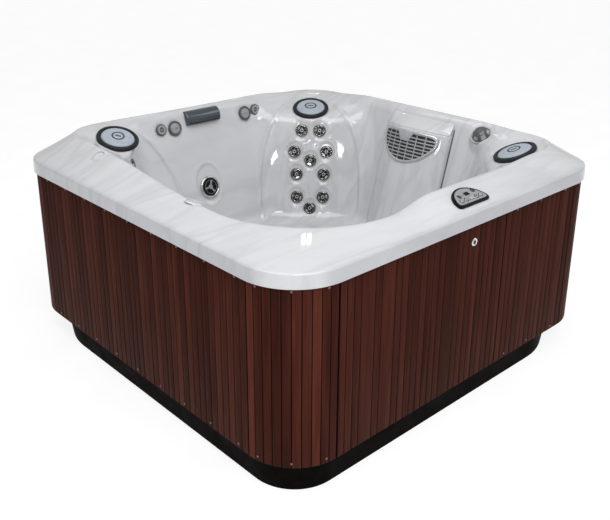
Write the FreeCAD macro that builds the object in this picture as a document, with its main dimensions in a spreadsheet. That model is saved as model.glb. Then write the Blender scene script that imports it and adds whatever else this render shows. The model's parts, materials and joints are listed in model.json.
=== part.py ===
import FreeCAD, Part
import math
import os

# Square hot tub: a vacuum-formed acrylic shell in a slatted cabinet on a black base pan.
# Frame: origin at the middle of the base pan's underside, +Z up, -Y the front with the
# controls and the access panel. Millimetres.

os.makedirs("parts", exist_ok=True)
V = FreeCAD.Vector
doc = FreeCAD.newDocument("hot_tub")
sheet = doc.addObject("Spreadsheet::Sheet", "dims")

DIMS = [
    # shell
    ("lip_half", 1000.0), ("lip_corner", 242.0), ("lip_bottom", 835.0), ("lip_top", 888.0),
    ("skin", 8.0), ("crest_near", 907.0), ("crest_front", 946.0), ("crest_right", 970.0),
    ("crest_back", 956.0), ("crest_left", 987.0), ("crest_side", 980.0),
    ("wall_top", 860.0), ("wall_top_left", 890.0), ("back_edge", 950.0), ("left_edge", 975.0),
    ("seat_level", 280.0), ("seat_front", 272.0), ("floor_level", 150.0),
    ("wall_half_back", 860.0), ("seat_diag", 750.0), ("seat_diag_near", 730.0),
    ("laminate", 20.0), ("laminate_gap", 0.5),
    # cabinet and base
    ("cab_half", 988.0), ("cab_thick", 12.0), ("cab_bottom", 113.0), ("cab_top", 846.0),
    ("cab_corner", 230.0), ("access_left", -756.0), ("access_right", 226.0), ("seam", 2.0),
    ("base_half", 960.0), ("base_top_half", 975.0), ("base_corner", 195.0), ("base_far_corner", 405.0), ("base_height", 112.0),
    ("base_floor", 12.0), ("base_wall", 8.0),
    ("post_size", 40.0), ("post_at", 920.0), ("post_side", 615.0), ("post_top", 838.0),
    ("rail_deep", 34.0), ("rail_high", 40.0), ("rail_long", 1340.0), ("rail_low_z", 122.0),
    ("rail_top_z", 796.0), ("rail_at", 975.0),
    # jets
    ("jet_flange", 37.0), ("jet_seat", 29.5), ("jet_face", 29.0), ("jet_barrel", 24.0),
    ("jet_bore", 20.0), ("jet_hole", 25.0), ("jet_deep", 60.0),
    ("power_flange", 62.0), ("power_seat", 50.0), ("power_face", 49.4), ("power_barrel", 40.0),
    ("power_bore", 34.0), ("power_hole", 41.0),
    # valves and dial
    ("knob_big", 42.0), ("knob_small", 33.0), ("knob_high", 15.0), ("valve_hole", 21.0),
    ("valve_barrel", 20.0), ("stem_radius", 8.0), ("dial_radius", 62.0), ("dial_high", 52.0),
    # headrests
    ("rest_radius", 105.0), ("rest_ring", 84.0), ("rest_high", 20.0), ("pad_high", 27.0),
    # control panel
    ("panel_long", 196.0), ("panel_deep", 104.0), ("panel_high", 16.0), ("button_radius", 7.0),
    ("button_high", 9.0),
    # filter
    ("column_half", 215.0), ("column_edge", 30.0), ("column_bulge", 122.0), ("column_skin", 6.0),
    ("grille_half", 182.0), ("cartridge_radius", 42.0), ("cartridge_high", 250.0),
    # spout and lock
    ("spout_long", 222.0), ("lock_radius", 14.0), ("lock_bore", 8.05), ("lock_barrel", 8.0),
    ("lock_x", 3.0), ("lock_z", 762.0),
    # equipment
    ("motor_radius", 78.0), ("motor_long", 270.0), ("wet_radius", 86.0), ("wet_long", 96.0),
    ("shaft_radius", 8.0), ("pump_y", -852.0), ("pump_z", 112.0), ("pipe_radius", 30.0),
    ("pipe_bore", 26.5), ("heater_radius", 36.0), ("heater_long", 380.0),
    ("box_long", 300.0), ("box_deep", 96.0), ("box_high", 230.0), ("gland_radius", 17.0),
    ("gland_bore", 13.0), ("gland_long", 42.0), ("screw_radius", 4.5), ("screw_high", 1.6),
]
for i, (name, value) in enumerate(DIMS):
    cell = "B%d" % (i + 1)
    sheet.set("A%d" % (i + 1), name)
    sheet.set(cell, repr(value))
    sheet.setAlias(cell, name)
doc.recompute()


def g(name):
    return float(getattr(sheet, name))


S2 = math.sqrt(2.0)
NODES = []


def keep(obj):
    NODES.append(obj)
    return obj


def bind(obj, **props):
    for prop, expr in props.items():
        obj.setExpression(prop.replace("__", "."), expr)
    return obj


def helper(kind, name, placement=None, **props):
    obj = doc.addObject(kind, name)
    if placement is not None:
        obj.Placement = placement
    return bind(obj, **props)


def feature(label, shape, placement=None, node=True):
    obj = doc.addObject("Part::Feature", label)
    obj.Shape = shape
    obj.Placement = placement if placement is not None else FreeCAD.Placement()
    obj.Label = label
    if node:
        keep(obj)
    return obj


def boolean(kind, label, base, tool, node=True):
    obj = doc.addObject(kind, label)
    obj.Base = base
    obj.Tool = tool
    obj.Label = label
    if node:
        keep(obj)
    return obj


def onplane(origin, normal, up):
    """Placement whose Z is the normal and whose Y lies towards up."""
    n = V(*normal).normalize()
    u = V(*up)
    u = (u - n * u.dot(n)).normalize()
    x = u.cross(n)
    m = FreeCAD.Matrix(x.x, u.x, n.x, origin[0], x.y, u.y, n.y, origin[1],
                       x.z, u.z, n.z, origin[2], 0, 0, 0, 1)
    return FreeCAD.Placement(m)


def placed(shape, pl):
    s = shape.copy()
    s.Placement = pl.multiply(s.Placement)
    return s


def solid_of(faces):
    sh = Part.makeShell(faces)
    sh.sewShape()
    so = Part.makeSolid(sh if sh.ShapeType == "Shell" else sh.Shells[0])
    if so.Volume < 0:
        so.reverse()
    return so


def tri(a, b, c):
    return Part.Face(Part.makePolygon([a, b, c, a]))


def poly_face(pts):
    return Part.Face(Part.makePolygon(list(pts) + [pts[0]]))


def hull_between(sec_a, sec_b):
    """Closed solid between two planar sections with the same number of points."""
    faces = [poly_face(sec_a), poly_face(sec_b)]
    n = len(sec_a)
    for i in range(n):
        a, b = sec_a[i], sec_a[(i + 1) % n]
        c, d = sec_b[(i + 1) % n], sec_b[i]
        if (a - d).Length < 1e-6:
            faces.append(tri(a, b, c))
        elif (b - c).Length < 1e-6:
            faces.append(tri(a, b, d))
        else:
            faces.append(tri(a, b, c))
            faces.append(tri(a, c, d))
    return solid_of(faces)


def prism(pts, vec):
    return poly_face(pts).extrude(vec)


def revolve(profile):
    """Solid of revolution about Z of (radius, height) points."""
    w = Part.makePolygon([V(r, 0, z) for r, z in profile] + [V(profile[0][0], 0, profile[0][1])])
    return Part.Face(w).revolve(V(0, 0, 0), V(0, 0, 1), 360)


def smooth(t):
    t = max(0.0, min(1.0, t))
    return t * t * (3 - 2 * t)


# ---------------------------------------------------------------- acrylic shell
T = g("skin")
CORNERS = "NRBL"
SIGN = {"N": (-1, -1), "R": (1, -1), "B": (1, 1), "L": (-1, 1)}


def corner_points(c, xs, ys, r, z):
    """Four points of a rounded corner, 30 degrees apart, counter-clockwise."""
    sx, sy = SIGN[c]
    cx, cy = sx * (xs - r), sy * (ys - r)
    start = {"N": 180, "R": 270, "B": 0, "L": 90}[c]
    return [V(cx + r * math.cos(math.radians(start + 30 * k)),
              cy + r * math.sin(math.radians(start + 30 * k)), z) for k in range(4)], (cx, cy, r, start)


def front_z(x):
    a = g("crest_near") + (g("crest_front") - g("crest_near")) * smooth((x + 300) / 240.0)
    return a + (g("crest_right") - g("crest_front")) * smooth((x - 300) / 400.0)


def left_z(y):
    return g("crest_near") + (g("crest_left") - g("crest_near")) * smooth((y + 320) / 980.0)


def back_z(x):
    a = g("crest_back") + (g("crest_side") - g("crest_back")) * smooth((735 - x) / 260.0)
    return a + (g("crest_left") - g("crest_side")) * smooth((-x) / 570.0)


def right_z(y):
    a = g("crest_right") + (g("crest_side") - g("crest_right")) * smooth((y + 600) / 260.0)
    return a + (g("crest_back") - g("crest_side")) * smooth((y - 430) / 305.0)


class Ring:
    """One closed line round the shell: four sides and four corners of three pieces."""

    def __init__(self, spec, arcs, sides=None, grow=0.0, drop=0.0):
        self.edges = []
        pts, info = {}, {}
        for c in CORNERS:
            xs, ys, r, z = spec[c]
            pts[c], info[c] = corner_points(c, xs + grow, ys + grow, r + grow, z - drop)
        self.pts = pts
        order = [("N", "R", "front"), ("R", "B", "right"), ("B", "L", "back"), ("L", "N", "left")]
        self.side, self.corner = {}, {}
        for a, b, name in order:
            p, q = pts[a][3], pts[b][0]
            if sides and name in sides:
                fn, ax = sides[name]
                n = 26
                line = []
                for k in range(n + 1):
                    w = p + (q - p) * (k / float(n))
                    line.append(V(w.x, w.y, fn(w[ax]) - drop))
                line[0], line[-1] = p, q
                cv = Part.BSplineCurve()
                cv.interpolate(line)
                self.side[name] = cv.toShape()
            else:
                self.side[name] = Part.makeLine(p, q)
        for c in CORNERS:
            es = []
            cx, cy, r, start = info[c]
            for k in range(3):
                p, q = pts[c][k], pts[c][k + 1]
                if arcs:
                    m = math.radians(start + 30 * k + 15)
                    mid = V(cx + r * math.cos(m), cy + r * math.sin(m), p.z)
                    es.append(Part.Arc(p, mid, q).toShape())
                else:
                    es.append(Part.makeLine(p, q))
            self.corner[c] = es


class Octagon:
    """Eight-sided line of the tub's inside: vertices counter-clockwise from the front's near end."""

    def __init__(self, v):
        self.v = v


def lip_spec(half, r, z):
    return {c: (half, half, r, z) for c in CORNERS}


CREST = {"N": (800, 830, 495, g("crest_near")), "R": (935, 830, 230, g("crest_right")),
         "B": (935, 935, 200, g("crest_back")), "L": (800, 935, 230, g("crest_left"))}
EDGE = {"N": (775, 800, 470, g("crest_near") - 6), "R": (885, 800, 160, g("back_edge")),
        "B": (885, 885, 226, g("back_edge")), "L": (775, g("wall_half_back") + (g("left_edge") - g("wall_top")) * 25.0 / 90.0, 155, g("left_edge"))}
CREST_SIDES = {"front": (front_z, 0), "left": (left_z, 1), "back": (back_z, 0), "right": (right_z, 1)}


def edge_front(x):
    lo, hi = EDGE["N"][3], EDGE["R"][3]
    return lo + (g("crest_front") - 6 - lo) * smooth((x + 300) / 240.0) + (hi - g("crest_front") + 6) * smooth((x - 400) / 300.0)


def edge_left(y):
    lo, hi = EDGE["N"][3], EDGE["L"][3]
    return lo + (hi - lo) * smooth((y + 320) / 980.0)


EDGE_SIDES = {"front": (edge_front, 0), "left": (edge_left, 1)}
LEAN = 25.0 / 90.0


def octagon(xl, yf, xr, yb, dn, dr, db, dl, z, grow=0.0, left_raise=0.0):
    xl, yf, xr, yb = xl + grow, yf + grow, xr + grow, yb + grow
    dn, dr, db, dl = dn + grow, dr + grow, db + grow, dl + grow
    zl = z + left_raise
    ybl = yb + left_raise * LEAN
    xll = xl + left_raise * 0.13
    dll = dl + left_raise * 0.17
    return [V(-dn * S2 + yf, -yf, z), V(dr * S2 - yf, -yf, z), V(xr, xr - dr * S2, z),
            V(xr, db * S2 - xr, z), V(db * S2 - yb, yb, z), V(ybl - dll * S2, ybl, zl),
            V(-xll, dll * S2 - xll, zl), V(-xl, -dn * S2 + xl, z)]


WB = g("wall_half_back")
WS = WB - (g("wall_top") - g("seat_level")) * LEAN
OCT = [
    dict(xl=760, yf=785, xr=WB, yb=WB, dn=885, dr=880, db=880, dl=880, z=g("wall_top"),
         left_raise=g("wall_top_left") - g("wall_top")),
    dict(xl=655, yf=640, xr=WS, yb=WS, dn=g("seat_diag_near"), dr=g("seat_diag"),
         db=g("seat_diag"), dl=g("seat_diag"), z=g("seat_level")),
    dict(xl=420, yf=420, xr=420, yb=420, dn=500, dr=500, db=500, dl=500, z=g("seat_front")),
    dict(xl=385, yf=385, xr=385, yb=385, dn=460, dr=460, db=460, dl=460, z=g("floor_level")),
]


def surface(under):
    """All faces of the shell's upper side, or of its underside."""
    t = T if under else 0.0
    r0 = Ring(lip_spec(g("lip_half") - t, g("lip_corner") - t, g("lip_bottom")), True)
    r1 = Ring(lip_spec(g("lip_half") - 4 - t, g("lip_corner") - 3 - t, g("lip_top") - t), True)
    r2 = Ring(CREST, True, CREST_SIDES, 0.0, t)
    r3 = Ring(EDGE, False, EDGE_SIDES, t, t)
    octs = []
    for k, o in enumerate(OCT):
        o = dict(o)
        o["grow"] = t
        if k > 0:
            o["z"] -= t
        octs.append(octagon(**o))
    faces = []
    for a, b in ((r0, r1), (r1, r2), (r2, r3)):
        for s in ("front", "right", "back", "left"):
            faces.append(Part.makeRuledSurface(a.side[s], b.side[s]))
        for c in CORNERS:
            for k in range(3):
                faces.append(Part.makeRuledSurface(a.corner[c][k], b.corner[c][k]))
    o4 = octs[0]
    ends = {"front": (0, 1), "right": (2, 3), "back": (4, 5), "left": (6, 7)}
    cor = {"N": (7, 0), "R": (1, 2), "B": (3, 4), "L": (5, 6)}
    for s, (i, j) in ends.items():
        if s == "right" or (s == "back" and not under):
            a, b = {"right": ("R", "B"), "back": ("B", "L")}[s]
            faces.append(poly_face([r3.pts[a][3], r3.pts[b][0], o4[j], o4[i]]))
        else:
            faces.append(Part.makeRuledSurface(r3.side[s], Part.makeLine(o4[i], o4[j])))
    for c, (i, j) in cor.items():
        p = r3.pts[c]
        faces.append(tri(p[0], p[1], o4[i]))
        faces.append(poly_face([p[1], p[2], o4[j], o4[i]]))
        faces.append(tri(p[2], p[3], o4[j]))
    for a, b in zip(octs[:-1], octs[1:]):
        for i in range(8):
            j = (i + 1) % 8
            try:
                f = poly_face([a[i], a[j], b[j], b[i]])
                ok = f.isValid()
            except Part.OCCError:
                ok = False
            if not ok:
                f = Part.makeRuledSurface(Part.makeLine(a[i], a[j]), Part.makeLine(b[i], b[j]))
            faces.append(f)
    faces.append(poly_face(octs[-1]))
    return faces, r0, r3, octs


top_faces, top_r0, top_r3, top_o = surface(False)
low_faces, low_r0, low_r3, low_o = surface(True)
wire_o = Part.Wire([e for s, c in zip(("front", "right", "back", "left"), "RBLN")
                    for e in [top_r0.side[s]] + top_r0.corner[c]])
wire_i = Part.Wire([e for s, c in zip(("front", "right", "back", "left"), "RBLN")
                    for e in [low_r0.side[s]] + low_r0.corner[c]])
rim_ring = Part.makeFace([wire_o, wire_i], "Part::FaceMakerBullseye")
shell = solid_of(top_faces + low_faces + [rim_ring])

# ---------------------------------------------------------------- fibreglass behind the skin
LAM, GAP = g("laminate"), g("laminate_gap")


def inset(pts, amount):
    """Polygon moved inwards on all edges, in its own plane."""
    n = len(pts)
    nrm = (pts[1] - pts[0]).cross(pts[2] - pts[1]).normalize()
    lines = []
    for i in range(n):
        a, b = pts[i], pts[(i + 1) % n]
        d = (b - a).normalize()
        m = nrm.cross(d)
        lines.append((a + m * amount, d))
    out = []
    for i in range(n):
        p, d = lines[i - 1]
        q, e = lines[i]
        w = q - p
        den = d.cross(e)
        s = w.cross(e).dot(den) / den.dot(den)
        out.append(p + d * s)
    return out


wall_slabs, seat_slabs, well_slabs = [], [], []
a4, a5, a6, a7 = low_o
for i in range(8):
    j = (i + 1) % 8
    # wall slab, kept 26 mm below the top line of the wall
    q = [a4[i], a4[j], a5[j], a5[i]]
    dn0 = (q[3] - q[0]).normalize()
    dn1 = (q[2] - q[1]).normalize()
    k = 26.0
    q = [q[0] + dn0 * k, q[1] + dn1 * k, q[2], q[3]]
    n = (q[1] - q[0]).cross(q[3] - q[0]).normalize()
    out = V((q[0].x + q[1].x), (q[0].y + q[1].y), 0)
    if n.dot(out) < 0:
        n = n * -1
    # a twisted quad is laid on the plane of three of its corners, behind the fourth
    off = max(0.0, n.dot(q[2] - q[0]))
    q[2] = q[2] - n * n.dot(q[2] - q[0])
    q = [p + n * (off + GAP) for p in inset(q, 1.0)]
    wall_slabs.append(prism(q, n * LAM))
    # seat slab
    q = [a5[i], a5[j], a6[j], a6[i]]
    din0 = (q[0] - q[3]).normalize()
    din1 = (q[1] - q[2]).normalize()
    q = [q[0], q[1], q[2] + din1 * (LAM + 6), q[3] + din0 * (LAM + 6)]
    zz = min(p.z for p in q) - GAP
    q = inset([V(p.x, p.y, zz) for p in q], 1.0)
    seat_slabs.append(prism(q, V(0, 0, -LAM)))
    # footwell wall slab
    q = [a6[i], a6[j], a7[j], a7[i]]
    n = (q[1] - q[0]).cross(q[3] - q[0]).normalize()
    out = V((q[0].x + q[1].x), (q[0].y + q[1].y), 0)
    if n.dot(out) < 0:
        n = n * -1
    q = [p + n * GAP for p in inset(q, 1.0)]
    well_slabs.append(prism(q, n * LAM))
q = inset([V(p.x, p.y, a7[0].z - GAP) for p in a7], 1.0)
well_slabs.append(prism(q, V(0, 0, -LAM)))

# foam core under the rim: three blocks for each straight run and three for each corner
core = []
Z0 = 851.0
LH = g("lip_half")


def block(sec_a, sec_b):
    """Closed block between two sections, drawn in a little all round."""
    pts = sec_a + sec_b
    mid = V(sum(p.x for p in pts), sum(p.y for p in pts), sum(p.z for p in pts)) * (1.0 / len(pts))
    size = max((p - mid).Length for p in pts)
    f = 1.2 / size

    def pull(p):
        return p + (mid - p) * f
    a = [pull(p) for p in sec_a]
    b = [pull(p) for p in sec_b]
    n = len(a)
    faces = []
    for sec in (a, b):
        for i in range(1, n - 1):
            faces.append(tri(sec[0], sec[i], sec[i + 1]))
    for i in range(n):
        p, r = a[i], a[(i + 1) % n]
        s, t = b[(i + 1) % n], b[i]
        if (p - t).Length < 1e-3:
            faces.append(tri(p, r, s))
        elif (r - s).Length < 1e-3:
            faces.append(tri(p, r, t))
        else:
            faces.append(tri(p, r, s))
            faces.append(tri(p, s, t))
    return solid_of(faces)


lip_u = Ring(lip_spec(LH - 16, g("lip_corner") - 16, 0.0), True)
crest_u = Ring(CREST, True, None, 0.0, T + 8)
edge_u = Ring(EDGE, False, None, T + 4, T + 6)
wall_u = octagon(grow=T + 4, **OCT[0])
cor = {"N": (7, 0), "R": (1, 2), "B": (3, 4), "L": (5, 6)}
secs = {}
for c in CORNERS:
    secs[c] = []
    for k in range(4):
        lp, cp, ep = lip_u.pts[c][k], crest_u.pts[c][k], edge_u.pts[c][k]
        wp = wall_u[cor[c][0] if k < 2 else cor[c][1]]
        if c == "N":
            cp, ep, wp = cp + V(-14, -14, -22), ep + V(-14, -14, -18), wp + V(-12, -12, -6)
        secs[c].append([V(lp.x, lp.y, Z0), V(lp.x, lp.y, g("lip_top") - T - 10), cp, ep,
                        V(wp.x, wp.y, wp.z - 6)])
for c in CORNERS:
    for k in range(3):
        core.append(block(secs[c][k], secs[c][k + 1]))
for ca, cb, name in (("N", "R", "front"), ("R", "B", "right"), ("B", "L", "back"), ("L", "N", "left")):
    fn, ax = CREST_SIDES[name]
    line = []
    stops = {"front": (0.0, 0.16, 0.32, 0.66, 1.0), "left": (0.0, 0.33, 0.66, 1.0)}.get(name, (0.0, 0.2, 0.8, 1.0))
    for f in stops:
        sec = [p + (q - p) * f for p, q in zip(secs[ca][3], secs[cb][0])]
        if 0.0 < f < 1.0:
            w = sec[2]
            sec[2] = V(w.x, w.y, min(fn(w[ax] + d) for d in (-60, 0, 60)) - T - 10)
            w = sec[3]
            if name in EDGE_SIDES:
                fe = EDGE_SIDES[name][0]
                sec[3] = V(w.x, w.y, min(fe(w[ax] + d) for d in (-60, 0, 60)) - T - 10)
        line.append(sec)
    for a, b in zip(line[:-1], line[1:]):
        core.append(block(a, b))

# ---------------------------------------------------------------- where the fittings sit
CUTS = []          # holes through skin, laminate and core


def facet(o_hi, o_lo, i, at, z):
    """Placement on an inner facet of the shell: at runs along its edge, z is the height."""
    j = (i + 1) % 8
    a, b, c, d = o_hi[i], o_hi[j], o_lo[j], o_lo[i]
    along = (b - a).normalize()
    mid_hi, mid_lo = (a + b) * 0.5, (c + d) * 0.5
    slope = mid_hi - mid_lo
    slope = slope - along * slope.dot(along)
    f = (z - mid_lo.z) / slope.z
    base = mid_lo + slope * f
    n = along.cross(slope)
    if n.dot(V(base.x, base.y, 0)) > 0:
        n = n * -1
    pos = base + along * at
    return onplane((pos.x, pos.y, pos.z), (n.x, n.y, n.z), (0, 0, 1))


def wall_place(side, at, z):
    """Placement on the leaning back (+Y) or right (+X) wall, Z axis into the tub."""
    h = WB + (z - g("wall_top")) * LEAN
    k = math.hypot(1.0, LEAN)
    if side == "back":
        return onplane((at, h, z), (0, -1 / k, LEAN / k), (0, 0, 1))
    return onplane((h, at, z), (-1 / k, 0, LEAN / k), (0, 0, 1))


def shelf_place(c, along, lat):
    """Placement on the sloping corner shelf that carries a headrest."""
    sx, sy = SIGN[c]
    p = top_r3.pts[c]
    i, j = cor[c]
    hi = (p[1] + p[2]) * 0.5
    lo = (top_o[0][i] + top_o[0][j]) * 0.5
    dh = (hi.x * sx + hi.y * sy) / S2
    dl = (lo.x * sx + lo.y * sy) / S2
    f = (along - dl) / (dh - dl)
    z = lo.z + (hi.z - lo.z) * f
    ld = ((p[2] - p[1]).normalize())
    pos = lo + (hi - lo) * f + ld * lat
    n = ld.cross(hi - lo)
    if n.z < 0:
        n = n * -1
    return onplane((pos.x, pos.y, pos.z), (n.x, n.y, n.z), (sx, sy, 0))


def drill(pl, radius, deep=90.0, lift=30.0):
    c = Part.makeCylinder(radius, deep + lift, V(0, 0, -deep), V(0, 0, 1))
    CUTS.append(placed(c, pl))


# ---------------------------------------------------------------- jets
def jet_body(flange, seat, barrel, bore, deep):
    return revolve([(bore, -deep), (barrel, -deep), (barrel, 0.3), (flange - 3, 0.3), (flange, 2.0),
                    (flange, 4.0), (flange - 3, 6.5), (seat, 6.5), (seat, 2.4), (bore, 2.4)])


def jet_face(face, bore):
    w = face - 1.0
    return revolve([(5.0, -26), (bore - 3, -26), (bore - 3, 2.9), (w, 2.9), (face, 4.0), (face, 6.0),
                    (w - 3, 8.0), (13.0, 5.4), (11.0, 9.0), (7.5, 9.0), (5.0, 3.0)])


small_body = jet_body(g("jet_flange"), g("jet_seat"), g("jet_barrel"), g("jet_bore"), g("jet_deep"))
small_face = jet_face(g("jet_face"), g("jet_bore"))
cutout = [placed(Part.makeCylinder(4.4, 30, V(0, 0, -6), V(0, 0, 1)),
                 FreeCAD.Placement(V(21 * math.cos(a), 21 * math.sin(a), 0), FreeCAD.Rotation()))
          for a in (math.radians(90), math.radians(210), math.radians(330))]
small_face = small_face.cut(Part.makeCompound(cutout))

BACK_JETS = [(-52, 790), (52, 790), (-93, 670), (93, 670), (0, 620), (-79, 541), (79, 541),
             (-76, 410), (76, 410), (0, 345)]
bodies = []
for k, (lat, z) in enumerate(BACK_JETS):
    pl = facet(top_o[0], top_o[1], 3, -lat, z)
    drill(pl, g("jet_hole"))
    bodies.append(placed(small_body, pl))
    feature("back_jet_face_%d" % (k + 1), small_face, pl)

LEFT_JETS = [(-66, 805), (34, 805)]
for k, (lat, z) in enumerate(LEFT_JETS):
    pl = facet(top_o[0], top_o[1], 5, lat, z)
    drill(pl, g("jet_hole"))
    bodies.append(placed(small_body, pl))
    feature("left_jet_face_%d" % (k + 1), small_face, pl)

power = jet_body(g("power_flange"), g("power_seat"), g("power_barrel"), g("power_bore"), 75.0)
spokes = revolve([(34.0, 3.0), (g("power_face") - 1, 3.0), (g("power_face"), 4.5), (g("power_face"), 7.0),
                  (44.0, 10.0), (34.0, 10.0)])
hub = revolve([(0.0, -20), (8.0, -20), (8.0, 3.2), (13.0, 3.2), (13.0, 12.0), (0.0, 12.0)])
arms = [placed(Part.makeBox(27.0, 11.0, 5.5, V(9.0, -5.5, 4.0)),
               FreeCAD.Placement(V(0, 0, 0), FreeCAD.Rotation(V(0, 0, 1), a))) for a in (90, 210, 330)]
power_face = spokes.fuse([hub] + arms).removeSplitter()
pl = wall_place("back", -7.0, 545.0)
drill(pl, g("power_hole"), 110.0)
bodies.append(placed(power, pl))
feature("jet_bodies", Part.makeCompound(bodies))
feature("power_jet_face", power_face, pl)

# ---------------------------------------------------------------- valves and their knobs
VALVES = [("air_knob_left", -246.0, 896.0, "knob_small"), ("diverter_knob_left", -160.0, 890.0, "knob_big"),
          ("diverter_knob_right", 324.0, 893.0, "knob_big"), ("air_knob_right", 402.0, 901.0, "knob_small")]
valves = []
for name, x, z, size in VALVES:
    pl = wall_place("back", x, z)
    r = g(size)
    drill(pl, g("valve_hole"), 70.0)
    sr = g("stem_radius")
    valves.append(placed(revolve([(sr + 0.05, -45), (g("valve_barrel"), -45), (g("valve_barrel"), 0.3),
                                  (r - 2, 0.3), (r - 2, 2.5), (sr + 0.05, 2.5)]), pl))
    h = g("knob_high")
    knob = revolve([(0, -30), (sr, -30), (sr, 3.0), (r, 3.0), (r, h - 4), (r - 4, h), (r - 8, h), (r - 9, h - 3), (0, h - 3)])
    knob = knob.fuse(Part.makeBox(2 * r - 24, 9, 9, V(-(r - 12), -4.5, h - 4))).removeSplitter()
    feature(name, knob, pl)

dial_dir = (-0.6, 0.0, 0.8)
dial_pl = onplane((876.0, -384.0, 915.0), dial_dir, (-0.8, 0, -0.6))
R = g("dial_radius")
dial_shape = revolve([(0, -26), (g("stem_radius"), -26), (g("stem_radius"), 6.0), (R, 6.0), (R, 12.0)]
                     + [(R * math.cos(math.radians(a)), 12 + (g("dial_high") - 12) * math.sin(math.radians(a))) for a in (15, 30, 45, 60, 75)]
                     + [(0, g("dial_high"))])
feature("selector_dial", dial_shape, dial_pl)
valves.append(placed(revolve([(g("stem_radius") + 0.05, -60), (26.0, -60), (26.0, 0.0), (R - 4, 0.0), (R - 4, 5.4),
                              (g("stem_radius") + 0.05, 5.4)]), dial_pl))
CUTS.append(placed(Part.makeCylinder(R + 3, 90, V(0, 0, -0.6), V(0, 0, 1)), dial_pl))
CUTS.append(placed(Part.makeCylinder(27.5, 120, V(0, 0, -75), V(0, 0, 1)), dial_pl))
feature("valve_bodies", Part.makeCompound(valves))

# ---------------------------------------------------------------- headrests
RESTS = [("back", "B", 970.0, 4.0, None), ("left", "L", 945.0, -46.0, (0.0, -0.36, 0.933)), ("right", "R", 1004.0, 0.0, None)]
rings = []
for name, c, d, lat, tilt in RESTS:
    pl = shelf_place(c, d, lat)
    rr, ri, hp = g("rest_radius"), g("rest_ring"), g("pad_high")
    low, under = 0.3, None
    if tilt:
        # tilted towards the front; its base is cut to lie on the shelf
        at = pl.multVec(V(0, 0, 18.0))
        under = placed(Part.makeBox(600, 600, 200, V(-300, -300, -199.7)), pl)
        pl, low = onplane((at.x, at.y, at.z), tilt, (SIGN[c][0], SIGN[c][1], 0)), -60.0
    ring = revolve([(ri + 0.5, low), (rr - 3, low), (rr, low + 3.7), (rr - 1, g("rest_high") - 4),
                    (rr - 7, g("rest_high")), (ri + 3, g("rest_high")), (ri + 0.5, g("rest_high") - 2)])
    pad = revolve([(0, low), (ri, low), (ri, hp - 9), (ri - 8, hp - 3.5), (ri - 30, hp - 0.8), (0, hp)])
    if under:
        rings.append(placed(ring, pl).cut(under))
        feature("headrest_pad_" + name, placed(pad, pl).cut(under))
    else:
        rings.append(placed(ring, pl))
        feature("headrest_pad_" + name, pad, pl)
feature("headrest_rings", Part.makeCompound(rings))

# ---------------------------------------------------------------- waterfall spout
sl = g("spout_long")
SX = 28.0
prof = [(906, 962), (884, 966), (862, 958), (848, 938), (844, 912), (846, 896), (858, 890), (906, 890)]
spout = prism([V(SX - sl / 2, y, z) for y, z in prof], V(sl, 0, 0))
slot = Part.makeBox(sl - 24, 30, 5, V(SX - sl / 2 + 12, 830, 898))
feature("waterfall_spout", spout.cut(slot))
CUTS.append(Part.makeBox(sl + 3, 130, 82, V(SX - sl / 2 - 1.5, 778, 888)))

# ---------------------------------------------------------------- filter column on the right wall
kx = math.hypot(1.0, LEAN)
col_pl = wall_place("right", 0.0, g("seat_level") + 22.0)   # Y axis up the wall, Z into the tub
ch, ce, cb, cs = g("column_half"), g("column_edge"), g("column_bulge"), g("column_skin")


def arc_band(half, edge_w, mid_w, thick, y0, y1):
    """Curved plate bulging off the wall, drawn in the wall's own axes."""
    def arc(o):
        a, m, b = V(-half, 0, edge_w + o), V(0, 0, mid_w + o), V(half, 0, edge_w + o)
        return a, b, Part.Arc(a, m, b).toShape()
    a0, b0, e0 = arc(0)
    a1, b1, e1 = arc(-thick)
    w = Part.Wire([e0, Part.makeLine(b0, b1), e1, Part.makeLine(a1, a0)])
    f = Part.Face(w)
    f.translate(V(0, y0, 0))
    return f.extrude(V(0, y1 - y0, 0))


COL_TOP = (872.0 - g("seat_level") - 22.0) * kx
panel = arc_band(ch, ce, cb, cs, 0.0, COL_TOP)
cheeks = [Part.makeBox(cs, COL_TOP, ce - 4.0, V(sx, 0, 1.0)) for sx in (-ch, ch - cs)]
panel = panel.fuse(cheeks).removeSplitter()
gh = g("grille_half")
gy0, gy1 = COL_TOP - 190.0, COL_TOP - 12.0


def d_shape(half, y0, y1, z0, z1):
    """Prism with a straight top and a round belly."""
    a, b = V(-half, y1, 0), V(half, y1, 0)
    k = y1 - (y1 - y0) * 0.30
    c, d = V(half, k, 0), V(-half, k, 0)
    w = Part.Wire([Part.makeLine(a, b), Part.makeLine(b, c), Part.Arc(c, V(0, y0, 0), d).toShape(), Part.makeLine(d, a)])
    f = Part.Face(w)
    f.translate(V(0, 0, z0))
    return f.extrude(V(0, 0, z1 - z0))


panel = panel.cut(d_shape(gh, gy0, gy1, 0, 200))
feature("filter_cover", panel, col_pl)
grille = arc_band(ch, ce + 3, cb + 3, 8.0, 0.0, COL_TOP).common(d_shape(gh - 0.6, gy0 + 0.6, gy1 - 0.6, 0, 200))
slots = []
rows, cols = 8, 6
for r_ in range(rows):
    for c_ in range(cols):
        w_, h_ = 48.0, 10.5
        x_ = -gh + 20 + (c_ + 0.5) * (2 * gh - 40) / cols
        y_ = gy0 + 20 + (r_ + 0.5) * (gy1 - gy0 - 30) / rows
        if abs(x_) > 60 or r_ < 6:
            b_ = Part.makeBox(w_, h_, 200, V(x_ - w_ / 2, y_ - h_ / 2, 0))
            slots.append(b_.common(d_shape(gh - 11, gy0 + 11, gy1 - 11, -10, 220)))
slots = [s_ for s_ in slots if s_.Volume > 1.0]
grille = grille.cut(Part.makeCompound(slots))
feature("filter_grille", grille, col_pl)
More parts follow.
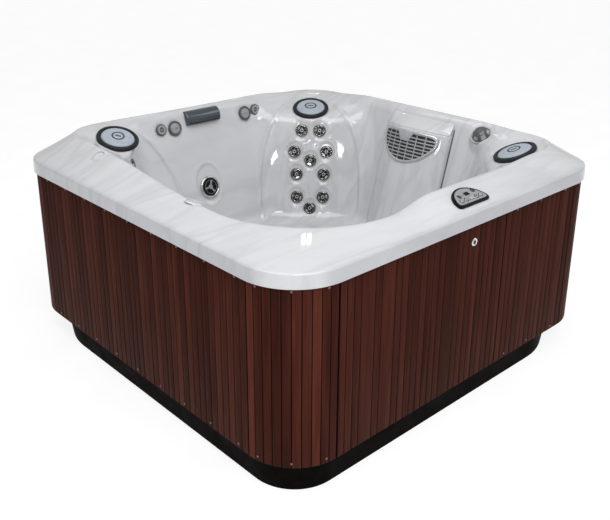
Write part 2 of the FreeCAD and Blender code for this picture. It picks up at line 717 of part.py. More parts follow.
cart = revolve([(12.0, 0), (g("cartridge_radius"), 0), (g("cartridge_radius"), g("cartridge_high")), (12.0, g("cartridge_high"))])
cart_pl = col_pl.multiply(FreeCAD.Placement(V(0, COL_TOP - 20 - g("cartridge_high"), 52.0), FreeCAD.Rotation(V(1, 0, 0), -90)))
feature("filter_cartridge", cart, cart_pl)
lid_hi = 70.0
lid_pts = [(-ch + 2, 0), (ch - 2, 0)]
lid_w = Part.Wire([Part.makeLine(V(-ch, 0, 3), V(ch, 0, 3)), Part.makeLine(V(ch, 0, 3), V(ch, 0, ce)),
                   Part.Arc(V(ch, 0, ce), V(0, 0, cb), V(-ch, 0, ce)).toShape(), Part.makeLine(V(-ch, 0, ce), V(-ch, 0, 3))])
lid_base = Part.Face(lid_w)
lid_base.translate(V(0, COL_TOP + 0.6, 0))
lid = lid_base.extrude(V(0, lid_hi, 0))
wedge = prism([V(-ch - 5, COL_TOP + 14, 140), V(-ch - 5, COL_TOP + lid_hi + 40, 140), V(-ch - 5, COL_TOP + lid_hi + 40, -20),
               V(-ch - 5, COL_TOP + lid_hi, -1)], V(2 * ch + 10, 0, 0))
lid = lid.cut(wedge)
inner = Part.makeBox(2 * ch - 60, 9, 60, V(-ch + 30, COL_TOP - 2, 22))
lid = lid.cut(inner)
feature("filter_lid", lid, col_pl)
drill(wall_place("right", 0.0, 470.0), 26.0, 90.0, 6.0)

# ---------------------------------------------------------------- control panel on the front rim
slope = (g("crest_front") - g("lip_top"), LH - 4 - 830.0)
kf = math.hypot(*slope)
PY_, PX_ = -908.0, 38.0
pz = g("lip_top") + (LH - 4 + PY_) * slope[0] / slope[1]
ctl_pl = onplane((PX_, PY_, pz), (0, -slope[0] / kf, slope[1] / kf), (0, 1, 0))
pl_, pd_, ph_ = g("panel_long"), g("panel_deep"), g("panel_high")


def d_panel(off, z0, z1):
    a, b = V(-pl_ / 2 + off, -pd_ / 2 + off, 0), V(pl_ / 2 - off, -pd_ / 2 + off, 0)
    c, d = V(pl_ / 2 - off, -pd_ / 2 + 26, 0), V(-pl_ / 2 + off, -pd_ / 2 + 26, 0)
    w = Part.Wire([Part.makeLine(a, b), Part.makeLine(b, c), Part.Arc(c, V(0, pd_ / 2 - off, 0), d).toShape(), Part.makeLine(d, a)])
    f = Part.Face(w)
    f.translate(V(0, 0, z0))
    return f.extrude(V(0, 0, z1 - z0))


bezel = d_panel(0.0, 0.4, ph_).cut(d_panel(9.0, ph_ - 10.0, ph_ + 1))
plug = Part.makeBox(120, 60, 30, V(-60, -34, -29.6))
bezel = bezel.fuse(plug).removeSplitter()
feature("control_bezel", bezel, ctl_pl)
CUTS.append(placed(Part.makeBox(123, 63, 70, V(-61.5, -35.5, -40)), ctl_pl))
plate = d_panel(9.4, ph_ - 3.6, ph_ - 0.8)
lcd = (30.0, 19.0, 5.0, 8.0)
BUTTONS = [("button_jets", -46.0, 4.0, 0), ("button_light", 52.0, 14.0, 0), ("button_pump_one", -60.0, -22.0, 0),
           ("button_pump_two", -32.0, -22.0, 0), ("button_temperature", 2.0, -22.0, 1), ("button_mode", 36.0, -22.0, 0),
           ("button_clean", 62.0, -22.0, 0)]
br = g("button_radius")
holes = [Part.makeBox(lcd[0] + 0.8, lcd[1] + 0.8, 40, V(lcd[2] - lcd[0] / 2 - 0.4, lcd[3] - lcd[1] / 2 - 0.4, 0))]
for name, x, y, wide in BUTTONS:
    if wide:
        holes.append(Part.makeBox(2 * br + 13, 2 * br - 1, 40, V(x - br - 6.5, y - br + 0.5, 0)))
    else:
        holes.append(Part.makeCylinder(br + 0.5, 40, V(x, y, 0), V(0, 0, 1)))
feature("control_face", plate.cut(Part.makeCompound(holes)), ctl_pl)
feature("control_display", Part.makeBox(lcd[0], lcd[1], 2.6, V(lcd[2] - lcd[0] / 2, lcd[3] - lcd[1] / 2, ph_ - 3.6)), ctl_pl)
bh = g("button_high")
for name, x, y, wide in BUTTONS:
    if wide:
        sh = Part.makeBox(2 * br + 12, 2 * br - 2, bh, V(x - br - 6, y - br + 1, ph_ - 8.0))
    else:
        sh = revolve([(0, 0), (br, 0), (br, bh - 1), (br - 1, bh), (0, bh - 0.3)])
    here = V(0, 0, 0) if wide else V(x, y, ph_ - 8.0)
    feature(name, sh, ctl_pl.multiply(FreeCAD.Placement(here, FreeCAD.Rotation())))

# ---------------------------------------------------------------- footwell fittings
covers = []
for at in (-120.0, 120.0):
    pl = facet(top_o[2], top_o[3], 0, at, 211.0)
    drill(pl, 25.0, 70.0, 6.0)
    covers.append(placed(revolve([(0, 0.4), (46, 0.4), (46, 4), (38, 14), (0, 16)]), pl))
feature("suction_covers", Part.makeCompound(covers))
pl = facet(top_o[2], top_o[3], 2, 0.0, 211.0)
feature("light_lens", revolve([(0, -30), (20, -30), (20, 0.4), (44, 0.4), (44, 4), (34, 11), (0, 14)]), pl)
drill(pl, 21.0, 70.0, 6.0)

# ---------------------------------------------------------------- skin, laminate and core, drilled
cutter = Part.makeCompound(CUTS)


def drilled(solids):
    out = []
    for so in solids:
        near = [c for c in CUTS if c.BoundBox.intersect(so.BoundBox)]
        out.append(so.cut(near) if near else so)
    return out


skin = shell.cut(CUTS)
feature("acrylic_shell", skin.Solids[0] if len(skin.Solids) == 1 else max(skin.Solids, key=lambda q_: q_.Volume))
feature("shell_laminate", Part.makeCompound([x_ for y_ in drilled(wall_slabs + seat_slabs + well_slabs) for x_ in y_.Solids]))
feature("rim_core", Part.makeCompound([x_ for y_ in drilled(core) for x_ in y_.Solids]))

# ---------------------------------------------------------------- base pan and frame
def rounded(half, r, far, z):
    """Square outline with the corner radius r at the near corner and far at the other three."""
    es, ends = [], []
    for sx, sy, c in ((1, -1, far), (1, 1, far), (-1, 1, far), (-1, -1, r)):
        k = half - c * (1 - math.sqrt(0.5))
        a, b = V(sx * half, sy * (half - c), z), V(sx * (half - c), sy * half, z)
        if sx * sy < 0:
            a, b = b, a
        ends.append((a, V(sx * k, sy * k, z), b))
    for i, (a, m, b) in enumerate(ends):
        es.append(Part.Arc(a, m, b).toShape())
        es.append(Part.makeLine(b, ends[(i + 1) % 4][0]))
    return Part.Wire(es)


bh_, bt_, bc_, bz_ = g("base_half"), g("base_top_half"), g("base_corner"), g("base_height")
bq_ = g("base_far_corner")
pan = Part.makeLoft([rounded(bh_, bc_, bq_, 0), rounded(bt_, bc_ + 15, bq_ + 15, bz_)], True, True)
bw_, bf_ = g("base_wall"), g("base_floor")
hol = Part.makeLoft([rounded(bh_ + 15 * bf_ / bz_ - bw_, bc_ - bw_, bq_ - bw_, bf_),
                     rounded(bt_ - bw_ + 0.2, bc_ + 15 - bw_, bq_ + 15 - bw_, bz_ + 1)], True, True)
feature("base_pan", pan.cut(hol))

posts = []
for k, (sx, sy, side) in enumerate([(-1, -1, 0), (1, -1, 0), (-1, 1, 0), (1, 1, 0), (-1, -1, 1), (1, -1, 1), (-1, 1, 1), (1, 1, 1)]):
    b = helper("Part::Box", "post_%d" % k, None, Length="dims.post_size", Width="dims.post_size",
               Height="dims.post_top - dims.base_floor")
    bx, by = ("dims.post_side", "dims.post_at") if side == 0 else ("dims.post_at", "dims.post_side")
    bind(b, Placement__Base__x="%d * %s - dims.post_size / 2" % (sx, bx),
         Placement__Base__y="%d * %s - dims.post_size / 2" % (sy, by), Placement__Base__z="dims.base_floor")
    posts.append(b)
rails = []
for level in ("rail_low_z", "rail_top_z"):
    for k, (ax, sg) in enumerate([(0, -1), (0, 1), (1, -1), (1, 1)]):
        b = helper("Part::Box", "rail_%s_%d" % (level, k), None, Height="dims.rail_high",
                   Length="dims.rail_long" if ax == 0 else "dims.rail_deep",
                   Width="dims.rail_deep" if ax == 0 else "dims.rail_long")
        far = "dims.rail_at - dims.rail_deep" if sg > 0 else "-dims.rail_at"
        bind(b, Placement__Base__x="-dims.rail_long / 2" if ax == 0 else far,
             Placement__Base__y=far if ax == 0 else "-dims.rail_long / 2", Placement__Base__z="dims." + level)
        rails.append(b)
grp = doc.addObject("Part::Compound", "cabinet_frame")
grp.Links = posts + rails
grp.Label = "cabinet_frame"
keep(grp)


# ---------------------------------------------------------------- cabinet
def panel_box(label, length, width, x, y):
    b = helper("Part::Box", label, None, Length=length, Width=width, Height="dims.cab_top - dims.cab_bottom")
    bind(b, Placement__Base__x=x, Placement__Base__y=y, Placement__Base__z="dims.cab_bottom")
    b.Label = label
    return b


FLAT = "(dims.cab_half - dims.cab_corner)"
sides = [panel_box("left_panel", "dims.cab_thick", "2 * %s - dims.seam" % FLAT, "-dims.cab_half", "-%s + dims.seam / 2" % FLAT)]
sides.append(panel_box("right_panel", "dims.cab_thick", "2 * %s - dims.seam" % FLAT, "dims.cab_half - dims.cab_thick", "-%s + dims.seam / 2" % FLAT))
sides.append(panel_box("back_panel", "2 * %s - dims.seam" % FLAT, "dims.cab_thick", "-%s + dims.seam / 2" % FLAT, "dims.cab_half - dims.cab_thick"))
grp = doc.addObject("Part::Compound", "side_panels")
grp.Links = sides
grp.Label = "side_panels"
keep(grp)
keep(panel_box("front_side_panel", "%s - dims.seam / 2 - dims.access_right - dims.seam" % FLAT, "dims.cab_thick",
               "dims.access_right + dims.seam", "-dims.cab_half"))
slab = panel_box("access_slab", "dims.access_right - dims.access_left", "dims.cab_thick", "dims.access_left", "-dims.cab_half")
bore = helper("Part::Cylinder", "access_bore", FreeCAD.Placement(V(g("lock_x"), -g("cab_half") - 5, g("lock_z")), FreeCAD.Rotation(V(1, 0, 0), -90)),
              Radius="dims.lock_radius - 4", Height="dims.cab_thick + 10")
boolean("Part::Cut", "access_panel", slab, bore)
corners = []
for k, (sx, sy, ang) in enumerate([(-1, -1, 180), (1, -1, 270), (1, 1, 0), (-1, 1, 90)]):
    pl = FreeCAD.Placement(V(sx * (g("cab_half") - g("cab_corner")), sy * (g("cab_half") - g("cab_corner")), g("cab_bottom")),
                           FreeCAD.Rotation(V(0, 0, 1), ang))
    o = helper("Part::Cylinder", "corner_out_%d" % k, pl, Radius="dims.cab_corner", Height="dims.cab_top - dims.cab_bottom", Angle="90")
    i = helper("Part::Cylinder", "corner_in_%d" % k, pl, Radius="dims.cab_corner - dims.cab_thick", Height="dims.cab_top - dims.cab_bottom", Angle="90")
    name = ["corner_panel_near", "corner_panel_right", "corner_panel_back", "corner_panel_left"][k]
    corners.append(boolean("Part::Cut", name, o, i, False))
grp = doc.addObject("Part::Compound", "corner_panels")
grp.Links = corners
grp.Label = "corner_panels"
keep(grp)

# lock: oval bezel through the panel with a turning barrel
lock_pl = onplane((g("lock_x"), -g("cab_half"), g("lock_z")), (0, -1, 0), (0, 0, 1))
feature("lock_bezel", revolve([(g("lock_bore"), -16), (g("lock_radius") - 4.3, -16), (g("lock_radius") - 4.3, 0.3),
                               (g("lock_radius"), 0.3), (g("lock_radius") - 1, 3.0), (g("lock_bore"), 4.0)]), lock_pl)
barrel = revolve([(0, -22), (g("lock_barrel"), -22), (g("lock_barrel"), 4.4), (0, 4.4)])
barrel = barrel.cut(Part.makeBox(2.2, 9, 4, V(-1.1, -4.5, 2.4)))
barrel = barrel.fuse(Part.makeBox(10, 34, 3, V(-5, -6, -25))).removeSplitter()
feature("lock_barrel", barrel, lock_pl)

# screws along the top and bottom of the panels
heads = []
sr, sh_ = g("screw_radius"), g("screw_high")


def head(x, y, z, nx, ny):
    heads.append(Part.makeCylinder(sr, sh_, V(x + nx * 0.3, y + ny * 0.3, z), V(nx, ny, 0)))


CH = g("cab_half")
for z in (824.0, 134.0):
    for k in range(9):
        u = -700 + k * 175.0
        head(-CH, u, z, -1, 0)
        head(CH, u, z, 1, 0)
        head(u, CH, z, 0, 1)
    for sx, sy, a0 in ((-1, -1, 180), (1, -1, 270), (1, 1, 0), (-1, 1, 90)):
        for a in (12, 45, 78):
            w = math.radians(a0 + a)
            c_ = CH - g("cab_corner")
            head(sx * c_ + g("cab_corner") * math.cos(w), sy * c_ + g("cab_corner") * math.sin(w), z, math.cos(w), math.sin(w))
    for x in (300.0, 480.0, 680.0):
        head(x, -CH, z, 0, -1)
feature("panel_screws", Part.makeCompound(heads))

# ---------------------------------------------------------------- equipment behind the access panel
py, pz_ = g("pump_y"), g("pump_z")
mr, ml, wr, wl = g("motor_radius"), g("motor_long"), g("wet_radius"), g("wet_long")
sr_ = g("shaft_radius")
ax_x = FreeCAD.Rotation(V(0, 1, 0), 90)
MX = -560.0
motor = revolve([(sr_ + 0.5, 0), (mr, 0), (mr, ml), (sr_ + 0.5, ml)])
feature("pump_motor", motor, FreeCAD.Placement(V(MX, py, pz_), ax_x))
wet = revolve([(sr_ + 0.5, 0), (wr, 0), (wr, wl), (30.5, wl), (30.5, wl - 8), (wr - 7, wl - 8), (wr - 7, 7), (sr_ + 0.5, 7)])
feature("pump_wet_end", wet, FreeCAD.Placement(V(MX + ml + 1.0, py, pz_), ax_x))
rotor = revolve([(0, -ml + 30), (sr_, -ml + 30), (sr_, 14), (wr - 12, 14), (wr - 12, 20), (28, 48), (0, 48)])
feature("pump_rotor", rotor, FreeCAD.Placement(V(MX + ml + 1.0, py, pz_), ax_x))
pr, pb = g("pipe_radius"), g("pipe_bore")
suction = revolve([(pb, 0), (pr, 0), (pr, 110), (pb, 110)])
hx = MX + ml + 1.0 + wl + 1.0
pipes = [placed(suction, FreeCAD.Placement(V(hx, py, pz_), ax_x))]
riser = revolve([(pb, 0), (pr, 0), (pr, 60), (pb, 60)])
pipes.append(placed(riser, FreeCAD.Placement(V(MX + ml + 1 + wl / 2, py, pz_ + wr + 3), FreeCAD.Rotation())))
feature("pump_pipes", Part.makeCompound(pipes))
hr, hl = g("heater_radius"), g("heater_long")
heater = revolve([(0, 0), (hr, 0), (hr, hl), (0, hl)])
feature("heater", heater, FreeCAD.Placement(V(-100.0, -905.0, 300.0), ax_x))
cbx = helper("Part::Box", "control_box", None, Length="dims.box_long", Width="dims.box_deep", Height="dims.box_high")
cbx.Placement = FreeCAD.Placement(V(-90.0, -958.0, 420.0), FreeCAD.Rotation())
cbx.Label = "control_box"
keep(cbx)
gland = revolve([(g("gland_bore"), 0), (g("gland_radius"), 0), (g("gland_radius"), g("gland_long")), (g("gland_bore"), g("gland_long"))])
feature("conduit_gland", gland, FreeCAD.Placement(V(170.0, -905.0, 420.0 - g("gland_long") - 0.4), FreeCAD.Rotation()))

# ---------------------------------------------------------------- checks and output
doc.recompute()
for obj in doc.Objects:
    if "Invalid" in obj.State or "Error" in obj.State:
        raise RuntimeError("failed object: " + obj.Label)
labels = set()
for obj in NODES:
    sh = obj.Shape
    if sh.isNull() or not sh.isValid() or sh.Volume < 1.0:
        raise RuntimeError("bad shape: " + obj.Label)
    if obj.Label in labels:
        raise RuntimeError("repeated label: " + obj.Label)
    labels.add(obj.Label)
if len(NODES) > 60:
    raise RuntimeError("too many nodes: %d" % len(NODES))
for obj in NODES:
    obj.Shape.exportStep("parts/" + obj.Label + ".step")
print("nodes", len(NODES))
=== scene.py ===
import json
import math
import bpy
import numpy as np
from mathutils import Matrix, Vector


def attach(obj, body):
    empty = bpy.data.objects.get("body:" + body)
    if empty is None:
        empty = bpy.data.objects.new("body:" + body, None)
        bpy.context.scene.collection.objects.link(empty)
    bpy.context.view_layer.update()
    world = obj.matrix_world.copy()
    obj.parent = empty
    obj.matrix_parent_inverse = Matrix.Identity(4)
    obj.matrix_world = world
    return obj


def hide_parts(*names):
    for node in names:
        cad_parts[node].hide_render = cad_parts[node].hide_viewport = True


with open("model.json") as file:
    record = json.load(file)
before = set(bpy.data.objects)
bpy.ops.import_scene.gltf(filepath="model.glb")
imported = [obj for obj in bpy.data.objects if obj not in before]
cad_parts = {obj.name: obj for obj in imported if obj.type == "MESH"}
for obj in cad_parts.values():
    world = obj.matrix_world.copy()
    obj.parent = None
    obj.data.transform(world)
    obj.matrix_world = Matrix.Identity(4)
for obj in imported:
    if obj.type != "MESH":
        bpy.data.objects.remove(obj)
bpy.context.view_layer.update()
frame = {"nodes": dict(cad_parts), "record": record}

NODES = frame["nodes"]
rng = np.random.default_rng(7)
S2 = math.sqrt(2.0)


# ------------------------------------------------------------------ helpers
def mesh_obj(name, verts, faces, smooth=True):
    me = bpy.data.meshes.new(name)
    me.from_pydata([tuple(map(float, v)) for v in verts], [], [tuple(int(i) for i in f) for f in faces])
    me.validate()
    me.update()
    if smooth:
        me.polygons.foreach_set("use_smooth", [True] * len(me.polygons))
    ob = bpy.data.objects.new(name, me)
    bpy.context.scene.collection.objects.link(ob)
    return ob


def grid_faces(rows, cols, wrap=False):
    f = []
    n = cols if wrap else cols - 1
    for r in range(rows - 1):
        a = r * cols
        b = (r + 1) * cols
        for c in range(n):
            d = (c + 1) % cols
            f.append((a + c, a + d, b + d, b + c))
    return f


def smooth01(t):
    t = np.clip(t, 0.0, 1.0)
    return t * t * (3 - 2 * t)


def bevel(ob, width, segs=2, angle=35):
    m = ob.modifiers.new("soft_edges", "BEVEL")
    m.width = width
    m.segments = segs
    m.limit_method = "ANGLE"
    m.angle_limit = math.radians(angle)
    m.harden_normals = False
    return m


def auto_smooth(ob, angle=35):
    me = ob.data
    me.polygons.foreach_set("use_smooth", [True] * len(me.polygons))
    me.set_sharp_from_angle(angle=math.radians(angle))


def frame_of(origin, normal, up):
    """4x4 whose Z is the normal and whose Y lies towards up."""
    n = Vector(normal).normalized()
    u = Vector(up)
    u = (u - n * u.dot(n)).normalized()
    x = u.cross(n)
    return Matrix(((x.x, u.x, n.x, origin[0]), (x.y, u.y, n.y, origin[1]), (x.z, u.z, n.z, origin[2]), (0, 0, 0, 1)))


def put(verts, m):
    a = np.array(m)
    v = np.asarray(verts, float)
    return v @ a[:3, :3].T + a[:3, 3]


def lathe(profile, segs=64, close=True):
    """Vertices and faces of a solid of revolution about Z from (radius, height) points."""
    verts, faces = [], []
    idx = []
    for r, z in profile:
        if r < 1e-6:
            idx.append([len(verts)])
            verts.append((0, 0, z))
        else:
            row = []
            for k in range(segs):
                a = 2 * math.pi * k / segs
                row.append(len(verts))
                verts.append((r * math.cos(a), r * math.sin(a), z))
            idx.append(row)
    pairs = list(zip(idx[:-1], idx[1:]))
    if close and len(idx[0]) > 1 and len(idx[-1]) > 1:
        pairs.append((idx[-1], idx[0]))
    for a, b in pairs:
        if len(a) == 1 and len(b) == 1:
            continue
        for k in range(segs):
            j = (k + 1) % segs
            if len(a) == 1:
                faces.append((a[0], b[j], b[k]))
            elif len(b) == 1:
                faces.append((a[k], a[j], b[0]))
            else:
                faces.append((a[k], a[j], b[j], b[k]))
    return verts, faces


def merge(parts):
    verts, faces = [], []
    for v, f in parts:
        o = len(verts)
        verts.extend([tuple(p) for p in v])
        faces.extend([tuple(i + o for i in q) for q in f])
    return verts, faces


def fix_normals(ob):
    import bmesh
    bm = bmesh.new()
    bm.from_mesh(ob.data)
    bmesh.ops.recalc_face_normals(bm, faces=bm.faces)
    bm.to_mesh(ob.data)
    bm.free()


# ------------------------------------------------------------------ materials
def new_mat(name):
    m = bpy.data.materials.new(name)
    m.use_nodes = True
    nt = m.node_tree
    for n in list(nt.nodes):
        nt.nodes.remove(n)
    out = nt.nodes.new("ShaderNodeOutputMaterial")
    b = nt.nodes.new("ShaderNodeBsdfPrincipled")
    nt.links.new(b.outputs[0], out.inputs[0])
    return m, nt, b


def coords(nt, scale=(1, 1, 1), rot=(0, 0, 0)):
    tc = nt.nodes.new("ShaderNodeTexCoord")
    mp = nt.nodes.new("ShaderNodeMapping")
    mp.inputs["Scale"].default_value = scale
    mp.inputs["Rotation"].default_value = rot
    nt.links.new(tc.outputs["Object"], mp.inputs["Vector"])
    return mp.outputs["Vector"]


def noise(nt, vec, scale, detail=3.0, rough=0.55, dist=0.0):
    n = nt.nodes.new("ShaderNodeTexNoise")
    n.inputs["Scale"].default_value = scale
    n.inputs["Detail"].default_value = detail
    n.inputs["Roughness"].default_value = rough
    n.inputs["Distortion"].default_value = dist
    nt.links.new(vec, n.inputs["Vector"])
    return n.outputs["Fac"]


def ramp(nt, fac, stops):
    r = nt.nodes.new("ShaderNodeValToRGB")
    el = r.color_ramp.elements
    while len(el) < len(stops):
        el.new(0.5)
    for e, (p, c) in zip(el, stops):
        e.position = p
        e.color = (c[0], c[1], c[2], 1.0)
    nt.links.new(fac, r.inputs["Fac"])
    return r.outputs["Color"]


def maprange(nt, fac, a, b, lo=0.0, hi=1.0):
    r = nt.nodes.new("ShaderNodeMapRange")
    r.inputs["From Min"].default_value = lo
    r.inputs["From Max"].default_value = hi
    r.inputs["To Min"].default_value = a
    r.inputs["To Max"].default_value = b
    nt.links.new(fac, r.inputs["Value"])
    return r.outputs["Result"]


def bump(nt, bsdf, height, strength, dist=0.001):
    n = nt.nodes.new("ShaderNodeBump")
    n.inputs["Strength"].default_value = strength
    n.inputs["Distance"].default_value = dist
    nt.links.new(height, n.inputs["Height"])
    nt.links.new(n.outputs["Normal"], bsdf.inputs["Normal"])
    return n


def mix(nt, a, b, fac, kind="MIX"):
    n = nt.nodes.new("ShaderNodeMix")
    n.data_type = "RGBA"
    n.blend_type = kind
    if isinstance(fac, (int, float)):
        n.inputs[0].default_value = fac
    else:
        nt.links.new(fac, n.inputs[0])
    for sock, val in ((n.inputs[6], a), (n.inputs[7], b)):
        if isinstance(val, tuple):
            sock.default_value = (val[0], val[1], val[2], 1.0)
        else:
            nt.links.new(val, sock)
    return n.outputs[2]


def mul(nt, a, k):
    n = nt.nodes.new("ShaderNodeMath")
    n.operation = "MULTIPLY"
    nt.links.new(a, n.inputs[0])
    if isinstance(k, (int, float)):
        n.inputs[1].default_value = k
    else:
        nt.links.new(k, n.inputs[1])
    return n.outputs[0]


def speckled(name, col, rough, metal=0.0, var=0.12, scale=60.0, bump_h=0.15, coat=0.0, rvar=0.08, bscale=None, spec=0.5):
    """Moulded or cast surface: mottled colour, uneven gloss and a fine grain."""
    m, nt, b = new_mat(name)
    v = coords(nt)
    n1 = noise(nt, v, scale, 4.0)
    lo = tuple(c * (1 - var) for c in col)
    hi = tuple(min(1.0, c * (1 + var)) for c in col)
    nt.links.new(ramp(nt, n1, [(0.3, lo), (0.7, hi)]), b.inputs["Base Color"])
    n2 = noise(nt, v, scale * 0.35, 3.0)
    nt.links.new(maprange(nt, n2, max(0.02, rough - rvar), min(1.0, rough + rvar), 0.3, 0.7), b.inputs["Roughness"])
    b.inputs["Metallic"].default_value = metal
    b.inputs["Specular IOR Level"].default_value = spec
    if coat:
        b.inputs["Coat Weight"].default_value = coat
        b.inputs["Coat Roughness"].default_value = 0.05
    if bump_h:
        n3 = noise(nt, v, bscale or scale * 8, 2.0)
        bump(nt, b, n3, bump_h, 0.0004)
    return m


def make_acrylic():
    m, nt, b = new_mat("pearl_acrylic")
    v = coords(nt, (0.55, 3.4, 0.9), (0.35, 0.25, 0.62))
    n1 = noise(nt, v, 2.1, 4.0, 0.50, 0.45)
    n2 = noise(nt, coords(nt, (0.8, 6.0, 1.4), (0.2, 0.5, 0.95)), 4.0, 4.0, 0.55, 0.3)
    veins = ramp(nt, n1, [(0.28, (0.612, 0.617, 0.632)), (0.45, (0.588, 0.593, 0.608)), (0.53, (0.532, 0.538, 0.555)), (0.60, (0.606, 0.611, 0.626)), (0.75, (0.548, 0.554, 0.571))])
    fine = ramp(nt, n2, [(0.35, (1.0, 1.0, 1.0)), (0.55, (0.975, 0.977, 0.980)), (0.75, (0.91, 0.915, 0.925))])
    col = mix(nt, veins, fine, 1.0, "MULTIPLY")
    # the straight runs of the outer lip are painted a shade duller: painted shade that keeps the lip darker than the
    # rim top
    tc = nt.nodes.new("ShaderNodeTexCoord")
    sep = nt.nodes.new("ShaderNodeSeparateXYZ")
    nt.links.new(tc.outputs["Object"], sep.inputs[0])
    ab = []
    for i in (0, 1):
        a = nt.nodes.new("ShaderNodeMath")
        a.operation = "ABSOLUTE"
        nt.links.new(sep.outputs[i], a.inputs[0])
        ab.append(a.outputs[0])
    mx = nt.nodes.new("ShaderNodeMath")
    mx.operation = "MAXIMUM"
    nt.links.new(ab[0], mx.inputs[0])
    nt.links.new(ab[1], mx.inputs[1])
    lip_painted_shade = ramp(nt, maprange(nt, mx.outputs[0], 0.0, 1.0, 0.955, 0.998), [(0.0, (1.0, 1.0, 1.0)), (0.55, (0.97, 0.97, 0.975)), (1.0, (0.80, 0.81, 0.83))])
    nt.links.new(mix(nt, col, lip_painted_shade, 1.0, "MULTIPLY"), b.inputs["Base Color"])
    n3 = noise(nt, coords(nt), 5.0, 2.0)
    nt.links.new(maprange(nt, n3, 0.03, 0.07, 0.3, 0.7), b.inputs["Roughness"])
    b.inputs["Coat Weight"].default_value = 0.30
    b.inputs["Coat Roughness"].default_value = 0.03
    b.inputs["IOR"].default_value = 1.49
    n4 = noise(nt, coords(nt), 7.0, 1.0)
    bump(nt, b, n4, 0.03, 0.002)
    return m


def make_slats():
    m, nt, b = new_mat("mahogany_slats")
    at = nt.nodes.new("ShaderNodeAttribute")
    at.attribute_name = "slat"
    v = coords(nt, (60.0, 60.0, 2.2))
    n1 = noise(nt, v, 1.0, 5.0, 0.6, 0.6)
    grain = ramp(nt, n1, [(0.22, (0.030, 0.0080, 0.0052)), (0.5, (0.050, 0.0140, 0.0092)), (0.80, (0.074, 0.0225, 0.0152))])
    tone = maprange(nt, at.outputs["Fac"], 0.72, 1.80)
    comb = nt.nodes.new("ShaderNodeCombineColor")
    for i in range(3):
        nt.links.new(tone, comb.inputs[i])
    col = mix(nt, grain, comb.outputs[0], 1.0, "MULTIPLY")
    # near-black painted shade in the grooves between the slats, weighted by a per-vertex attribute
    groove_painted_shade = nt.nodes.new("ShaderNodeAttribute")
    groove_painted_shade.attribute_name = "groove_painted_shade"
    col = mix(nt, col, (0.004, 0.002, 0.0016), groove_painted_shade.outputs["Fac"])
    nt.links.new(col, b.inputs["Base Color"])
    n2 = noise(nt, coords(nt, (90, 90, 5)), 1.0, 3.0)
    nt.links.new(maprange(nt, n2, 0.34, 0.55, 0.3, 0.7), b.inputs["Roughness"])
    b.inputs["Specular IOR Level"].default_value = 0.012
    n3 = noise(nt, coords(nt, (420, 420, 9)), 1.0, 3.0)
    bump(nt, b, n3, 0.25, 0.0005)
    return m


def make_chrome():
    m, nt, b = new_mat("chrome")
    v = coords(nt)
    n1 = noise(nt, v, 40.0, 3.0)
    nt.links.new(ramp(nt, n1, [(0.3, (0.60, 0.585, 0.555)), (0.7, (0.74, 0.73, 0.705))]), b.inputs["Base Color"])
    nt.links.new(maprange(nt, noise(nt, v, 90.0, 2.0), 0.06, 0.16, 0.3, 0.7), b.inputs["Roughness"])
    b.inputs["Metallic"].default_value = 1.0
    return m


M = {}
M["acrylic"] = make_acrylic()
M["slats"] = make_slats()
M["chrome"] = make_chrome()
M["base"] = speckled("black_base", (0.0042, 0.0034, 0.0030), 0.55, 0.0, 0.30, 30, 0.35, 0.0, 0.10, 900, 0.008)
M["laminate"] = speckled("fibreglass", (0.46, 0.42, 0.33), 0.6, 0.0, 0.2, 45, 0.8, bscale=220)
M["foam"] = speckled("rigid_foam", (0.72, 0.64, 0.42), 0.85, 0.0, 0.12, 50, 1.0, bscale=160)
M["timber"] = speckled("timber", (0.42, 0.27, 0.14), 0.7, 0.0, 0.25, 18, 0.5, bscale=120)
M["grey_trim"] = speckled("metallic_grey", (0.30, 0.31, 0.325), 0.30, 0.45, 0.10, 80, 0.06, 0.2)
M["spout"] = speckled("spout_grey", (0.105, 0.120, 0.136), 0.20, 0.80, 0.06, 8, 0.0, 0.2, 0.03)
M["headrest_ring"] = speckled("charcoal_rubber", (0.014, 0.0155, 0.018), 0.5, 0.0, 0.2, 90, 0.5, bscale=900, spec=0.22)
M["headrest_pad"] = speckled("soft_pad", (0.36, 0.405, 0.46), 0.55, 0.0, 0.06, 40, 0.5, bscale=700)
M["silver"] = speckled("silver_plastic", (0.55, 0.56, 0.58), 0.28, 0.55, 0.06, 70, 0.05, 0.2)
M["black_gloss"] = speckled("black_gloss", (0.0030, 0.0031, 0.0034), 0.16, 0.0, 0.25, 60, 0.04, 0.0, 0.05, None, 0.12)
M["display"] = speckled("display_glass", (0.004, 0.005, 0.006), 0.10, 0.0, 0.3, 30, 0.02, 0.0, 0.04, None, 0.16)
M["button"] = speckled("button_pale", (0.46, 0.47, 0.485), 0.45, 0.0, 0.06, 120, 0.2)
M["button_blue"] = speckled("button_blue", (0.035, 0.085, 0.135), 0.35, 0.0, 0.12, 120, 0.2)
M["button_green"] = speckled("button_green", (0.022, 0.105, 0.085), 0.35, 0.0, 0.12, 120, 0.2)
M["paper"] = speckled("filter_cloth", (0.70, 0.70, 0.67), 0.9, 0.0, 0.1, 60, 0.8, bscale=300)
M["grey_plastic"] = speckled("grey_plastic", (0.40, 0.41, 0.42), 0.5, 0.0, 0.08, 70, 0.3)
M["lens"] = speckled("frosted_lens", (0.62, 0.66, 0.69), 0.25, 0.0, 0.05, 60, 0.1, 0.5)
M["motor_paint"] = speckled("black_enamel", (0.018, 0.018, 0.020), 0.35, 0.0, 0.25, 40, 0.3)
M["steel"] = speckled("brushed_steel", (0.50, 0.50, 0.50), 0.3, 1.0, 0.1, 120, 0.1)
M["screw"] = speckled("screw_paint", (0.155, 0.085, 0.075), 0.42, 0.2, 0.25, 200, 0.1)
M["dark"] = speckled("dark_insert", (0.012, 0.012, 0.012), 0.3, 0.0, 0.3, 80, 0.1)

slot_of = {s["node"]: s["material_slot"] for s in frame["record"]["subparts"]}


def set_mat(ob, mat):
    ob.data.materials.clear()
    ob.data.materials.append(mat)


